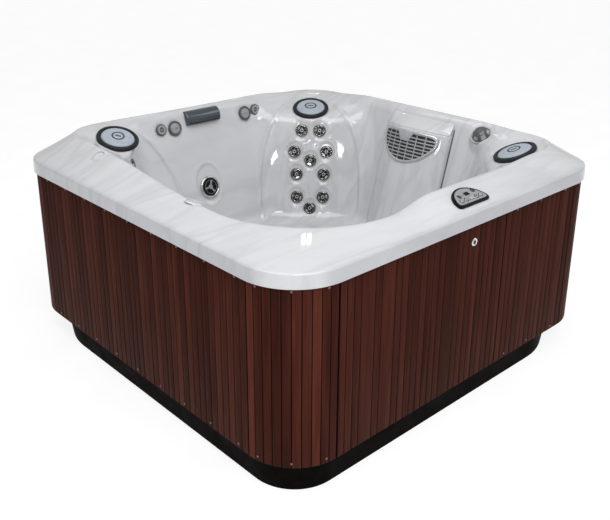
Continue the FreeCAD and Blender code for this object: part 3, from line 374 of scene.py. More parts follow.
for n, ob in NODES.items():
    key = slot_of.get(n, "grey_plastic")
    set_mat(ob, M.get(key, M["grey_plastic"]))


def piece(ob, node, mat=None, body="tub"):
    """The piece stands for a node, rides on its body and takes the finish it is given, if any."""
    if mat is not None:
        set_mat(ob, mat)
    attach(ob, body)
    if node:
        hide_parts(*([node] if isinstance(node, str) else node))
    return ob


# ------------------------------------------------------------------ shell, as smooth rings about the middle
CORN = ("N", "R", "B", "L")
SIGN = {"N": (-1, -1), "R": (1, -1), "B": (1, 1), "L": (-1, 1)}
START = {"N": 180, "R": 270, "B": 0, "L": 90}
Z_NEAR, Z_FRONT, Z_RIGHT, Z_BACK, Z_LEFT, Z_SIDE = 0.907, 0.946, 0.970, 0.956, 0.987, 0.980


def front_z(x):
    return Z_NEAR + (Z_FRONT - Z_NEAR) * smooth01((x + 0.300) / 0.240) + (Z_RIGHT - Z_FRONT) * smooth01((x - 0.300) / 0.400)


def left_z(y):
    return Z_NEAR + (Z_LEFT - Z_NEAR) * smooth01((y + 0.320) / 0.980)


def back_z(x):
    return Z_BACK + (Z_SIDE - Z_BACK) * smooth01((0.735 - x) / 0.260) + (Z_LEFT - Z_SIDE) * smooth01(-x / 0.570)


def right_z(y):
    return Z_RIGHT + (Z_SIDE - Z_RIGHT) * smooth01((y + 0.600) / 0.260) + (Z_BACK - Z_SIDE) * smooth01((y - 0.430) / 0.305)


def edge_front(x):
    lo, hi = Z_NEAR - 0.006, 0.950
    return lo + (Z_FRONT - 0.006 - lo) * smooth01((x + 0.300) / 0.240) + (hi - Z_FRONT + 0.006) * smooth01((x - 0.400) / 0.300)


def edge_left(y):
    lo, hi = Z_NEAR - 0.006, 0.975
    return lo + (hi - lo) * smooth01((y + 0.320) / 0.980)


def ring_line(spec, sides=None):
    """Dense closed line: corners as arcs, sides straight with their own height."""
    ends, arcs = {}, {}
    for c in CORN:
        xs, ys, r, z = spec[c]
        sx, sy = SIGN[c]
        a = np.radians(START[c] + np.linspace(0, 90, 40))
        arcs[c] = np.stack([sx * (xs - r) + r * np.cos(a), sy * (ys - r) + r * np.sin(a), np.full(40, z)], 1)
    out = []
    for a, b, name in (("N", "R", "front"), ("R", "B", "right"), ("B", "L", "back"), ("L", "N", "left")):
        p, q = arcs[a][-1], arcs[b][0]
        t = np.linspace(0, 1, 90)[1:-1, None]
        seg = p + (q - p) * t
        if sides and name in sides:
            fn, ax = sides[name]
            seg[:, 2] = fn(seg[:, ax])
        out.append(seg)
        out.append(arcs[b])
    return np.concatenate(out)


def round_poly(v, setbacks):
    """Closed line with each vertex rounded off over its setback."""
    n = len(v)
    out = []
    for i in range(n):
        p, c, q = v[i - 1], v[i], v[(i + 1) % n]
        s = setbacks[i]
        a = c + (p - c) / np.linalg.norm(p - c) * s
        b = c + (q - c) / np.linalg.norm(q - c) * s
        t = np.linspace(0, 1, 16)[:, None]
        out.append((1 - t) ** 2 * a + 2 * t * (1 - t) * c + t ** 2 * b)
        nx = v[(i + 1) % n]
        qn = v[(i + 2) % n]
        e = nx + (c - nx) / np.linalg.norm(c - nx) * setbacks[(i + 1) % n]
        t = np.linspace(0, 1, 40)[1:-1, None]
        out.append(b + (e - b) * t)
    return np.concatenate(out)


LEAN = 25.0 / 90.0


def octagon(xl, yf, xr, yb, dn, dr, db, dl, z, left_raise=0.0):
    zl = z + left_raise
    ybl, xll, dll = yb + left_raise * LEAN, xl + left_raise * 0.13, dl + left_raise * 0.17
    return np.array([(-dn * S2 + yf, -yf, z), (dr * S2 - yf, -yf, z), (xr, xr - dr * S2, z), (xr, db * S2 - xr, z),
                     (db * S2 - yb, yb, z), (ybl - dll * S2, ybl, zl), (-xll, dll * S2 - xll, zl), (-xl, -dn * S2 + xl, z)])


WS = 0.860 - (0.860 - 0.280) * LEAN
OCT = [octagon(0.760, 0.785, 0.860, 0.860, 0.885, 0.880, 0.880, 0.880, 0.860, 0.030),
       octagon(0.655, 0.640, WS, WS, 0.730, 0.750, 0.750, 0.750, 0.280),
       octagon(0.420, 0.420, 0.420, 0.420, 0.500, 0.500, 0.500, 0.500, 0.272),
       octagon(0.385, 0.385, 0.385, 0.385, 0.460, 0.460, 0.460, 0.460, 0.150)]
CREST = {"N": (0.800, 0.830, 0.495, Z_NEAR), "R": (0.935, 0.830, 0.230, Z_RIGHT),
         "B": (0.935, 0.935, 0.200, Z_BACK), "L": (0.800, 0.935, 0.230, Z_LEFT)}
EDGE = {"N": (0.775, 0.800, 0.470, Z_NEAR - 0.006), "R": (0.885, 0.800, 0.160, 0.950),
        "B": (0.885, 0.885, 0.226, 0.950), "L": (0.775, 0.89194, 0.155, 0.975)}


def lip(half, r, z):
    return {c: (half, half, r, z) for c in CORN}


lines = [
    ring_line(lip(0.990, 0.232, 0.852)),
    ring_line(lip(0.990, 0.232, 0.835)),
    ring_line(lip(1.000, 0.242, 0.835)),
    ring_line(lip(0.998, 0.240, 0.893)),
    ring_line(CREST, {"front": (front_z, 0), "left": (left_z, 1), "back": (back_z, 0), "right": (right_z, 1)}),
    ring_line(EDGE, {"front": (edge_front, 0), "left": (edge_left, 1)}),
    round_poly(OCT[0], [0.10, 0.05, 0.05, 0.05, 0.05, 0.05, 0.05, 0.10]),
    round_poly(OCT[1], [0.10] * 8),
    round_poly(OCT[2], [0.10] * 8),
    round_poly(OCT[3], [0.09] * 8),
]
NT = 1000
theta = np.linspace(-math.pi, math.pi, NT, endpoint=False)
ctrl = []
for ln in lines:
    th = np.arctan2(ln[:, 1], ln[:, 0])
    rho = np.hypot(ln[:, 0], ln[:, 1])
    o = np.argsort(th)
    th, rho, zz = th[o], rho[o], ln[o, 2]
    th = np.concatenate([th[-3:] - 2 * math.pi, th, th[:3] + 2 * math.pi])
    rho = np.concatenate([rho[-3:], rho, rho[:3]])
    zz = np.concatenate([zz[-3:], zz, zz[:3]])
    ctrl.append((np.interp(theta, th, rho), np.interp(theta, th, zz)))
ctrl.append((np.full(NT, 0.02), np.full(NT, 0.146)))
P = np.stack([np.stack([r * np.cos(theta), r * np.sin(theta), z], 1) for r, z in ctrl])   # ring, angle, xyz
K = len(P)
# rounding at each ring of the profile, and how finely each stretch is divided
setback = [0, 0.003, 0.004, 0.008, 0.050, 0.028, 0.045, 0.075, 0.035, 0.040, 0]
steps = [2, 2, 6, 14, 8, 14, 96, 30, 12, 10]
arc_n = 7
rows = [P[0]]
prev = P[0]
for k in range(1, K):
    if k == K - 1:
        t = np.linspace(0, 1, steps[k - 1] + 1)[1:, None, None]
        rows.extend(list(prev + (P[k] - prev) * t))
        break
    la = np.linalg.norm(P[k] - P[k - 1], axis=1)[:, None]
    lb = np.linalg.norm(P[k + 1] - P[k], axis=1)[:, None]
    s = np.minimum(setback[k], 0.42 * np.minimum(la, lb))
    a = P[k] + (P[k - 1] - P[k]) / la * s
    b = P[k] + (P[k + 1] - P[k]) / lb * s
    t = np.linspace(0, 1, steps[k - 1] + 1)[1:, None, None]
    rows.extend(list(prev + (a - prev) * t))
    t = np.linspace(0, 1, arc_n)[1:, None, None]
    rows.extend(list((1 - t) ** 2 * a + 2 * t * (1 - t) * P[k] + t ** 2 * b))
    prev = b
G = np.array(rows)                       # row, angle, xyz
NR = len(G)


def normals(G):
    du = np.roll(G, -1, 1) - np.roll(G, 1, 1)
    dv = np.empty_like(G)
    dv[1:-1] = G[2:] - G[:-2]
    dv[0] = G[1] - G[0]
    dv[-1] = G[-1] - G[-2]
    n = np.cross(du, dv)
    n /= np.linalg.norm(n, axis=2, keepdims=True) + 1e-12
    return n


N0 = normals(G)
# towards the bather: up on level parts, inwards on the walls
flip = np.sign(N0[NR // 2, :, 2].mean() + 1e-9)
mid_up = N0[-8, :, 2].mean()
if mid_up < 0:
    N0 = -N0


def facet_place(hi, lo, i, at, z):
    j = (i + 1) % 8
    a, b, c, d = hi[i], hi[j], lo[j], lo[i]
    along = (b - a) / np.linalg.norm(b - a)
    mh, ml = (a + b) / 2, (c + d) / 2
    sl = mh - ml
    sl = sl - along * sl.dot(along)
    base = ml + sl * ((z - ml[2]) / sl[2])
    n = np.cross(along, sl)
    if n.dot((base[0], base[1], 0)) > 0:
        n = -n
    return frame_of(base + along * at, n, (0, 0, 1))


def wall_place(side, at, z):
    h = 0.860 + (z - 0.860) * LEAN
    k = math.hypot(1.0, LEAN)
    if side == "back":
        return frame_of((at, h, z), (0, -1 / k, LEAN / k), (0, 0, 1))
    return frame_of((h, at, z), (-1 / k, 0, LEAN / k), (0, 0, 1))


BACK_JETS = [(-52, 790), (52, 790), (-93, 670), (93, 670), (0, 620), (-79, 541), (79, 541), (-76, 410), (76, 410), (0, 345)]
back_frames = [facet_place(OCT[0], OCT[1], 3, -a / 1000, z / 1000) for a, z in BACK_JETS]
left_frames = [facet_place(OCT[0], OCT[1], 5, a / 1000, z / 1000) for a, z in [(-66, 805), (34, 805)]]
power_frame = wall_place("back", -0.007, 0.545)

disp = np.zeros(G.shape[:2])


def local(m):
    a = np.array(m.inverted())
    return G @ a[:3, :3].T + a[:3, 3]


# soft ridges where the corner seats meet the walls
def ridge(points, height, width):
    global disp
    pts = np.array(points, float)
    best = np.full(G.shape[:2], 9.0)
    for a, b in zip(pts[:-1], pts[1:]):
        ab = b - a
        t = np.clip(((G - a) @ ab) / ab.dot(ab), 0, 1)
        best = np.minimum(best, np.linalg.norm(G - (a + t[..., None] * ab), axis=2))
    disp = disp + height * np.exp(-(best / width) ** 2)


BACK_RIDGE = [(0.630, 0.800, 0.917), (0.587, 0.803, 0.9055), (0.505, 0.780, 0.874), (0.446, 0.785, 0.812), (0.418, 0.788, 0.745),
              (0.393, 0.787, 0.689), (0.363, 0.772, 0.601), (0.339, 0.757, 0.511), (0.320, 0.735, 0.422), (0.307, 0.717, 0.355),
              (0.316, 0.692, 0.3095), (0.346, 0.655, 0.2895), (0.40, 0.60, 0.283)]
LEFT_RIDGE = [(-0.440, 0.850, 0.935), (-0.392, 0.8595, 0.9147), (-0.325, 0.857, 0.848), (-0.280, 0.837, 0.7775), (-0.247, 0.818, 0.708),
              (-0.222, 0.802, 0.650), (-0.207, 0.783, 0.582), (-0.200, 0.760, 0.500), (-0.203, 0.735, 0.410), (-0.220, 0.705, 0.315),
              (-0.27, 0.64, 0.285)]
RIGHT_RIDGE = [(0.836, -0.632, 0.926), (0.799, -0.607, 0.907), (0.762, -0.588, 0.890), (0.738, -0.545, 0.850), (0.742, -0.480, 0.790),
               (0.755, -0.420, 0.700), (0.750, -0.380, 0.600), (0.735, -0.350, 0.480), (0.712, -0.330, 0.360), (0.67, -0.36, 0.290)]
NEAR_LEFT = [(-0.722, 0.735, 0.950), (-0.752, 0.640, 0.925), (-0.748, 0.520, 0.860), (-0.728, 0.470, 0.740), (-0.700, 0.440, 0.560), (-0.668, 0.42, 0.36)]
ridge(BACK_RIDGE, 0.0115, 0.0100)
ridge([(b, a, c) for a, b, c in BACK_RIDGE], 0.0115, 0.0100)
ridge(LEFT_RIDGE, 0.0105, 0.0100)
ridge(RIGHT_RIDGE, 0.0095, 0.0100)
ridge(NEAR_LEFT, 0.0075, 0.0115)

# dimples round the jets and a bowl round the large one
for m in back_frames + left_frames:
    q = local(m)
    d = np.hypot(q[..., 0], q[..., 1] * 0.86)
    near = np.abs(q[..., 2]) < 0.06
    disp = disp - np.where(near, 0.0048 * (1 - smooth01((d - 0.040) / 0.013)), 0)
    disp = disp + np.where(near, 0.0016 * np.exp(-((d - 0.055) / 0.006) ** 2), 0)
q = local(power_frame)
d = np.sqrt((q[..., 0] / 0.088) ** 2 + ((q[..., 1] - 0.018) / 0.118) ** 2)
disp = disp - np.where(np.abs(q[..., 2]) < 0.08, 0.0066 * (1 - smooth01((d - 0.80) / 0.20)), 0)
disp = disp + np.where(np.abs(q[..., 2]) < 0.08, 0.002 * np.exp(-((d - 1.03) / 0.05) ** 2), 0)
# level seats for the knobs, with a shallow rim
for x, z, r in ((-0.246, 0.896, 0.033), (-0.160, 0.890, 0.042), (0.324, 0.893, 0.042), (0.402, 0.901, 0.033)):
    q = local(wall_place("back", x, z))
    d = np.hypot(q[..., 0], q[..., 1])
    near = np.abs(q[..., 2]) < 0.05
    w = np.where(near, 1 - smooth01((d - r) / 0.012), 0)
    disp = disp * (1 - w) - 0.002 * w

G2 = G + N0 * disp[..., None]
RESTS = {"back": ((0.6831, 0.6887, 0.8900), (-0.223, -0.223, 0.949), (1, 1, 0)),
         "left": ((-0.5818 + 0.018 * 0.251, 0.7546 - 0.018 * 0.251, 0.9127 + 0.018 * 0.935), (0.0, -0.36, 0.933), (-1, 1, 0)),
         "right": ((0.7500, -0.6698, 0.9065), (-0.249, 0.249, 0.936), (1, -1, 0))}
# shallow dish round each headrest, level with its base
for n_, (o_, nz, up) in RESTS.items():
    m_ = frame_of(o_, nz, up)
    a_ = np.array(m_.inverted())
    q = G2 @ a_[:3, :3].T + a_[:3, 3]
    d = np.hypot(q[..., 0], q[..., 1])
    near = np.abs(q[..., 2]) < 0.075
    w_ = np.where(near, 1 - smooth01((d - 0.106) / 0.050), 0)
    lip_ = np.where(near, 0.0035 * np.exp(-((d - 0.113) / 0.0065) ** 2), 0)
    move = (-0.0006 - q[..., 2]) * w_
    if n_ != "left":
        move = np.where(move > 0, move * (1 - smooth01((d - 0.108) / 0.016)), move)
    move = np.maximum(move, -0.0062) + lip_
    G2 = G2 + np.array(m_)[:3, 2] * move[..., None]
# ledge under the dial
DIAL = frame_of((0.876, -0.384, 0.915), (-0.6, 0.0, 0.8), (-0.8, 0.0, -0.6))
a_ = np.array(DIAL.inverted())
q = G2 @ a_[:3, :3].T + a_[:3, 3]
d = np.hypot(q[..., 0], q[..., 1])
near = np.abs(q[..., 2]) < 0.10
w_ = np.where(near, 1 - smooth01((d - 0.050) / 0.030), 0)
move = (-0.0008 - q[..., 2]) * w_
move = np.where(d < 0.0490, move, np.maximum(move, -0.0060))
along = q[..., 0] * -0.75 + q[..., 1] * 0.66
across = q[..., 0] * 0.66 + q[..., 1] * 0.75
shelf = 0.021 * np.exp(-((along - 0.061) / 0.0115) ** 2) * (1 - smooth01((np.abs(across + 0.012) - 0.036) / 0.042))
move = move + np.where(near, shelf, 0)
G2 = G2 + np.array(DIAL)[:3, 2] * move[..., None]
faces = grid_faces(NR, NT, True)
verts = G2.reshape(-1, 3)
cap = len(verts)
verts = np.vstack([verts, [[0, 0, 0.146]]])
last = (NR - 1) * NT
for c in range(NT):
    faces.append((last + c, last + (c + 1) % NT, cap))
shell = mesh_obj("tub_shell", verts, faces)
fix_normals(shell)
piece(shell, "acrylic_shell", M["acrylic"])


# ------------------------------------------------------------------ slatted cabinet
def slat_panel(name, path, length, pitch, z0, z1, thick=0.012, seed=1, wide=0.0, pale=(), seam=0.0):
    """Closed strip of rounded upright slats along a path; path(s) gives point and outward normal."""
    n = max(1, int(round(length / pitch)))
    p = length / n
    g = 0.0030
    r = np.random.default_rng(seed)
    cuts = [0]
    while cuts[-1] < n:
        cuts.append(min(n, cuts[-1] + (2 if r.random() < wide else 1)))
    # a seam starts the strip with a groove carrying full painted shade
    s, d, groove_shade_weight, sl = ([0.0], [0.0046], [1.0], [0.3]) if seam else ([], [], [], [])
    for c0, c1 in zip(cuts[:-1], cuts[1:]):
        a0, a1 = c0 * p + (seam if c0 == 0 else 0.0), c1 * p - (seam if c1 == n else 0.0)
        tone = 0.52 * r.random()
        # boards listed in pale get a lighter tone: a painted highlight for the sheen along the curved corner
        if c0 in pale:
            tone = 0.80
        prof = [(a0, 0.0046), (a0 + g * 0.36, 0.0042), (a0 + g * 0.52, 0.0016), (a0 + g * 0.80, 0.0005), (a0 + g * 1.5, 0.0),
                (a1 - g * 1.5, 0.0), (a1 - g * 0.80, 0.0005), (a1 - g * 0.52, 0.0016), (a1 - g * 0.36, 0.0042)]
        # groove weights: full painted shade in the groove bottom, fading out over the rounded slat edges
        for (a, b), q in zip(prof, [1.0, 0.9, 0.25, 0.0, 0.0, 0.0, 0.0, 0.25, 0.9]):
            s.append(a)
            d.append(b)
            groove_shade_weight.append(q)
            sl.append(tone)
    s.append(length)
    d.append(0.0046)
    groove_shade_weight.append(1.0)
    sl.append(sl[-1])
    s, d = np.array(s), np.array(d)
    pt, nr = path(s)
    front = pt - nr * d[:, None]
    back = pt - nr * thick
    m = len(s)
    zs = [z0, z0 + 0.003, z1 - 0.003, z1]
    rows_ = []
    for z in zs:
        dd = 0.0015 if z in (z0, z1) else 0.0
        rows_.append(np.column_stack([front - nr * dd, np.full(m, z)]))
    rows_.append(np.column_stack([back, np.full(m, z1)]))
    rows_.append(np.column_stack([back, np.full(m, z0)]))
    V_ = np.concatenate(rows_)
    F = []
    R = len(rows_)
    for a in range(R):
        b = (a + 1) % R
        for c in range(m - 1):
            F.append((a * m + c, a * m + c + 1, b * m + c + 1, b * m + c))
    F.append(tuple(a * m for a in range(R))[::-1])
    F.append(tuple(a * m + m - 1 for a in range(R)))
    ob = mesh_obj(name, V_, F, False)
    for nm, arr in (("slat", sl), ("groove_painted_shade", groove_shade_weight)):
        at = ob.data.attributes.new(nm, "FLOAT", "POINT")
        at.data.foreach_set("value", np.tile(np.array(arr, np.float32), R))
    fix_normals(ob)
    auto_smooth(ob, 50)
    return ob


def line_path(p, q, n):
    p, q, n = np.array(p, float), np.array(q, float), np.array(n, float)
    u = (q - p) / np.linalg.norm(q - p)
    return lambda s: (p + np.outer(s, u), np.tile(n, (len(s), 1)))


def arc_path(cx, cy, r, a0):
    def f(s):
        a = math.radians(a0) + s / r
        nr = np.stack([np.cos(a), np.sin(a)], 1)
        return np.array([cx, cy]) + nr * r, nr
    return f


H, FL = 0.988, 0.757
Z0, Z1 = 0.113, 0.846
pan = [slat_panel("left_slats", line_path((-H, FL), (-H, -FL), (-1, 0)), 2 * FL, 0.0368, Z0, Z1, seed=11, wide=0.06),
       slat_panel("right_slats", line_path((H, -FL), (H, FL), (1, 0)), 2 * FL, 0.0368, Z0, Z1, seed=12, wide=0.10),
       slat_panel("back_slats", line_path((FL, H), (-FL, H), (0, 1)), 2 * FL, 0.0368, Z0, Z1, seed=13, wide=0.10)]
for o in pan:
    piece(o, None, M["slats"])
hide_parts("side_panels")
o = slat_panel("front_side_slats", line_path((0.228, -H), (FL, -H), (0, -1)), FL - 0.228, 0.0368, Z0, Z1, seed=14, wide=0.12)
piece(o, "front_side_panel", M["slats"])
acc = slat_panel("access_slats", line_path((-0.756, -H), (0.226, -H), (0, -1)), 0.982, 0.0368, Z0, Z1, seed=15, wide=0.20, seam=0.003)
piece(acc, "access_panel", M["slats"], "access_panel")
for k, (sx, sy, a0) in enumerate([(-1, -1, 180), (1, -1, 270), (1, 1, 0), (-1, 1, 90)]):
    # on the near corner, boards 0 and 7 are lightened as a painted highlight
    o = slat_panel("corner_slats_%d" % k, arc_path(sx * 0.758, sy * 0.758, 0.230, a0), 0.230 * math.pi / 2, 0.0365, Z0, Z1, seed=20 + k, pale=(0, 7) if k == 0 else (), seam=0.0018)
    piece(o, None, M["slats"])
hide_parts("corner_panels")

# ------------------------------------------------------------------ small solids for the fittings
class Bits:
    """Several solids with their own finishes, made into one object."""

    def __init__(self):
        self.v, self.f, self.m, self.mats = [], [], [], []

    def add(self, vf, mat, place=None):
        v, f = vf
        if place is not None:
            v = put(v, place)
        if mat not in self.mats:
            self.mats.append(mat)
        o = len(self.v)
        self.v.extend([tuple(p) for p in v])
        self.f.extend([tuple(i + o for i in q) for q in f])
        self.m.extend([self.mats.index(mat)] * len(f))
        return self

    def make(self, name, angle=35):
        ob = mesh_obj(name, self.v, self.f, False)
        for mt in self.mats:
            ob.data.materials.append(mt)
        ob.data.polygons.foreach_set("material_index", self.m)
        fix_normals(ob)
        auto_smooth(ob, angle)
        return ob


def ring_band(r0, r1, z0, z1, b, segs=56):
    pr = [(r0, z0), (r0, z1 - b), (r0 + 0.3 * b, z1 - 0.3 * b), (r0 + b, z1), (r1 - b, z1), (r1 - 0.3 * b, z1 - 0.3 * b), (r1, z1 - b), (r1, z0)]
    return lathe(pr, segs)


def fluted(profile, segs, count, amount, r_from):
    """Solid of revolution whose wider rows carry finger flutes."""
    v, f = lathe(profile, segs, False)
    out = []
    for x, y, z in v:
        r = math.hypot(x, y)
        if r > r_from:
            a = math.atan2(y, x)
            k = 1 - amount * (0.5 + 0.5 * math.cos(count * a)) * min(1.0, (r - r_from) / (0.15 * r_from))
            x, y = x * k, y * k
        out.append((x, y, z))
    return out, f


def wedge(r0, r1, a0, a1, z0, zi, zo, n=6):
    """Ring sector with a sloping, chamfered top."""
    c = 0.0009
    v, f = [], []
    for k in range(n + 1):
        a = a0 + (a1 - a0) * k / n
        e = 0.6 * c if k in (0, n) else 0.0
        for r, z in ((r0, z0), (r1, z0), (r1, zo - c - e), (r1 - c, zo - e), (r0 + c, zi - e), (r0, zi - c - e)):
            v.append((r * math.cos(a), r * math.sin(a), z))
    for k in range(n):
        for i in range(6):
            j = (i + 1) % 6
            f.append((k * 6 + i, k * 6 + j, (k + 1) * 6 + j, (k + 1) * 6 + i))
    f.append(tuple(range(6))[::-1])
    f.append(tuple(n * 6 + i for i in range(6)))
    return v, f


def bar(lx, ly, z0, z1, c=0.0012):
    """Bar with chamfered top edges, centred on Z."""
    x, y = lx / 2, ly / 2
    lv = [(x, y, z0), (x, y, z1 - c), (x - c, y - c, z1)]
    v, f = [], []
    for a, b, z in lv:
        v += [(-a, -b, z), (a, -b, z), (a, b, z), (-a, b, z)]
    for r in range(2):
        for i in range(4):
            j = (i + 1) % 4
            f.append((r * 4 + i, r * 4 + j, r * 4 + 4 + j, r * 4 + 4 + i))
    f.append((3, 2, 1, 0))
    f.append((8, 9, 10, 11))
    return v, f


M["jet_black"] = speckled("jet_black", (0.0040, 0.0040, 0.0042), 0.28, 0.0, 0.3, 120, 0.06, 0.0, 0.08, None, 0.22)
M["knob_grey"] = speckled("knob_grey", (0.315, 0.325, 0.325), 0.36, 0.25, 0.16, 140, 0.25, 0.0, 0.08, None, 0.35)
M["knob_rim"] = speckled("knob_rim", (0.105, 0.110, 0.112), 0.34, 0.2, 0.2, 120, 0.15, 0.0, 0.08, None, 0.35)
M["frame_silver"] = speckled("frame_silver", (0.55, 0.57, 0.60), 0.24, 0.75, 0.06, 50, 0.02, 0.0, 0.05)
M["grille_bar"] = speckled("grille_bar", (0.36, 0.368, 0.375), 0.42, 0.25, 0.08, 90, 0.10)
M["dial_grey"] = speckled("dial_grey", (0.105, 0.112, 0.110), 0.24, 0.30, 0.2, 60, 0.05, 0.0, 0.06, None, 0.40)
M["mark_grey"] = speckled("mark_grey", (0.030, 0.034, 0.045), 0.5, 0.0, 0.15, 150, 0.2)

# ------------------------------------------------------------------ jets
# dark grey used as painted shadow on the inner wall of each glass rest
M["rest_painted_shadow"] = speckled("rest_painted_shadow", (0.16, 0.165, 0.175), 0.3, 0.0, 0.2, 60, 0.05)
M["flange_grey"] = speckled("flange_grey", (0.37, 0.36, 0.345), 0.20, 0.75, 0.10, 90, 0.05)
FLANGE = [(0.0200, -0.060), (0.0240, -0.060), (0.0240, 0.0004), (0.0355, 0.0004), (0.0368, 0.0016), (0.0370, 0.0028), (0.0362, 0.0044),
          (0.0340, 0.0060), (0.0316, 0.0066), (0.0300, 0.0062), (0.0294, 0.0050), (0.0294, 0.0024), (0.0200, 0.0024)]
P_FLANGE = [(0.0340, -0.075), (0.0400, -0.075), (0.0400, 0.0004), (0.0595, 0.0004), (0.0616, 0.0018), (0.0620, 0.0034), (0.0606, 0.0060),
            (0.0575, 0.0078), (0.0540, 0.0080), (0.0512, 0.0066), (0.0502, 0.0050), (0.0500, 0.0024), (0.0340, 0.0024)]
fl_ = Bits()
for m in back_frames + left_frames:
    fl_.add(lathe(FLANGE, 56), M["flange_grey"], m)
    fl_.add(lathe([(0.0294, 0.0050), (0.0300, 0.0064), (0.0316, 0.0069), (0.0334, 0.0066), (0.0334, 0.0056), (0.0300, 0.0050)], 56), M["jet_black"], m)
fl_.add(lathe(P_FLANGE, 72), M["chrome"], power_frame)
piece(fl_.make("jet_flanges"), "jet_bodies")


def small_face(m, turn):
    """Turning insert: dark slotted dish, slanted bright vanes and a pale nozzle ring round its bore."""
    b = Bits()
    rz = m @ Matrix.Rotation(turn, 4, "Z")
    b.add(lathe([(0.0, 0.0028), (0.0272, 0.0028), (0.0287, 0.0040), (0.0287, 0.0050), (0.0262, 0.0046), (0.0120, 0.0040), (0.0, 0.0040)], 48, False), M["jet_black"], rz)
    b.add(ring_band(0.0270, 0.0289, 0.0040, 0.0066, 0.0007, 48), M["chrome"], rz)
    for k in range(6):
        a = math.radians(60 * k)
        if k in (2, 5):
            b.add(wedge(0.0165, 0.0266, a - 0.40, a + 0.46, 0.0038, 0.0050, 0.0070), M["chrome" if k == 2 else "flange_grey"], rz)
        else:
            b.add(wedge(0.0118, 0.0262, a - 0.10, a + 0.16, 0.0038, 0.0056, 0.0064), M["knob_rim"], rz)
    b.add(lathe([(0.0054, 0.0036), (0.0054, 0.0080), (0.0062, 0.0090), (0.0084, 0.0090), (0.0098, 0.0078), (0.0106, 0.0040)], 36), M["silver"], rz)
    b.add(lathe([(0.0, 0.0036), (0.0056, 0.0036), (0.0056, 0.0068), (0.0040, 0.0060), (0.0, 0.0058)], 24, False), M["jet_black"], rz)
    return b


for k, m in enumerate(back_frames):
    n = "back_jet_face_%d" % (k + 1)
    piece(small_face(m, 0.35 + 0.5 * k).make(n + "_insert"), n, body=n)
for k, m in enumerate(left_frames):
    n = "left_jet_face_%d" % (k + 1)
    piece(small_face(m, 0.2 + 0.7 * k).make(n + "_insert"), n, body=n)
b = Bits()
b.add(lathe([(0.0, 0.0028), (0.0460, 0.0028), (0.0494, 0.0042), (0.0494, 0.0062), (0.0480, 0.0086), (0.0440, 0.0100), (0.0395, 0.0098),
             (0.0372, 0.0084), (0.0360, 0.0040), (0.0, 0.0036)], 72, False), M["jet_black"], power_frame)
for k in range(3):
    rz = power_frame @ Matrix.Rotation(math.radians(68 + 120 * k), 4, "Z") @ Matrix.Translation((0.0225, 0, 0))
    b.add(bar(0.0330, 0.0105, 0.0034, 0.0096, 0.0022), M["grey_trim"], rz)
b.add(lathe([(0.0, 0.0034), (0.0128, 0.0034), (0.0128, 0.0104), (0.0112, 0.0119), (0.0060, 0.0120), (0.0, 0.0116)], 36, False), M["grey_trim"], power_frame)
b.add(ring_band(0.0366, 0.0384, 0.0078, 0.0104, 0.0006, 64), M["grey_trim"], power_frame)
piece(b.make("power_jet_insert"), "power_jet_face", body="power_jet_face")

# ------------------------------------------------------------------ knobs and dial
BIG = [(0, 0.0122), (0.0270, 0.0124), (0.0296, 0.0118), (0.0308, 0.0106), (0.0322, 0.0106), (0.0336, 0.0128), (0.0360, 0.0146), (0.0388, 0.0140),
       (0.0412, 0.0112), (0.0420, 0.0070), (0.0418, 0.0034), (0.0408, 0.0030), (0.0, 0.0030)]
SMALL = [(0, 0.0108), (0.0100, 0.0110), (0.0116, 0.0098), (0.0134, 0.0098), (0.0150, 0.0122), (0.0225, 0.0140), (0.0280, 0.0134), (0.0314, 0.0106),
         (0.0330, 0.0064), (0.0328, 0.0034), (0.0318, 0.0030), (0.0, 0.0030)]
for n, x, z, big in (("air_knob_left", -0.246, 0.896, 0), ("diverter_knob_left", -0.160, 0.890, 1),
                     ("diverter_knob_right", 0.324, 0.893, 1), ("air_knob_right", 0.402, 0.901, 0)):
    m = wall_place("back", x, z)
    b = Bits()
    b.add(fluted(BIG if big else SMALL, 120, 20 if big else 16, 0.035, 0.037 if big else 0.029), M["knob_rim"], m)
    b.add(lathe([(0.0, 0.0130), (0.0250, 0.0132), (0.0276, 0.0126), (0.0290, 0.0112), (0.0290, 0.0100), (0.0, 0.0100)] if big else
                [(0.0128, 0.0098), (0.0140, 0.0128), (0.0160, 0.0144), (0.0222, 0.0146), (0.0248, 0.0136), (0.0256, 0.0118), (0.0256, 0.0100)], 64, not big), M["knob_grey"], m)
    b.add(bar(0.048 if big else 0.018, 0.0085 if big else 0.006, 0.0100, 0.0150 if big else 0.0136, 0.0018), M["grey_trim"], m)
    piece(b.make(n + "_cap"), n, body=n)
DOME = [(0.0, 0.0405), (0.0100, 0.0400), (0.0200, 0.0378), (0.0290, 0.0338), (0.0365, 0.0280), (0.0418, 0.0212), (0.0452, 0.0150), (0.0468, 0.0098),
        (0.0470, 0.0066), (0.0452, 0.0058), (0.0, 0.0058)]
b = Bits()
b.add(fluted(DOME, 144, 10, 0.045, 0.034), M["dial_grey"], DIAL)
for k in range(6):
    a = math.radians(24 + 60 * k)
    b.add(wedge(0.0355, 0.0462, a - 0.30, a + 0.30, 0.0080, 0.0294, 0.0158, 10), M["knob_grey"], DIAL)
b.add(ring_band(0.0440, 0.0482, 0.0030, 0.0075, 0.0012, 72), M["knob_rim"], DIAL)
piece(b.make("dial_cap"), "selector_dial", body="selector_dial")

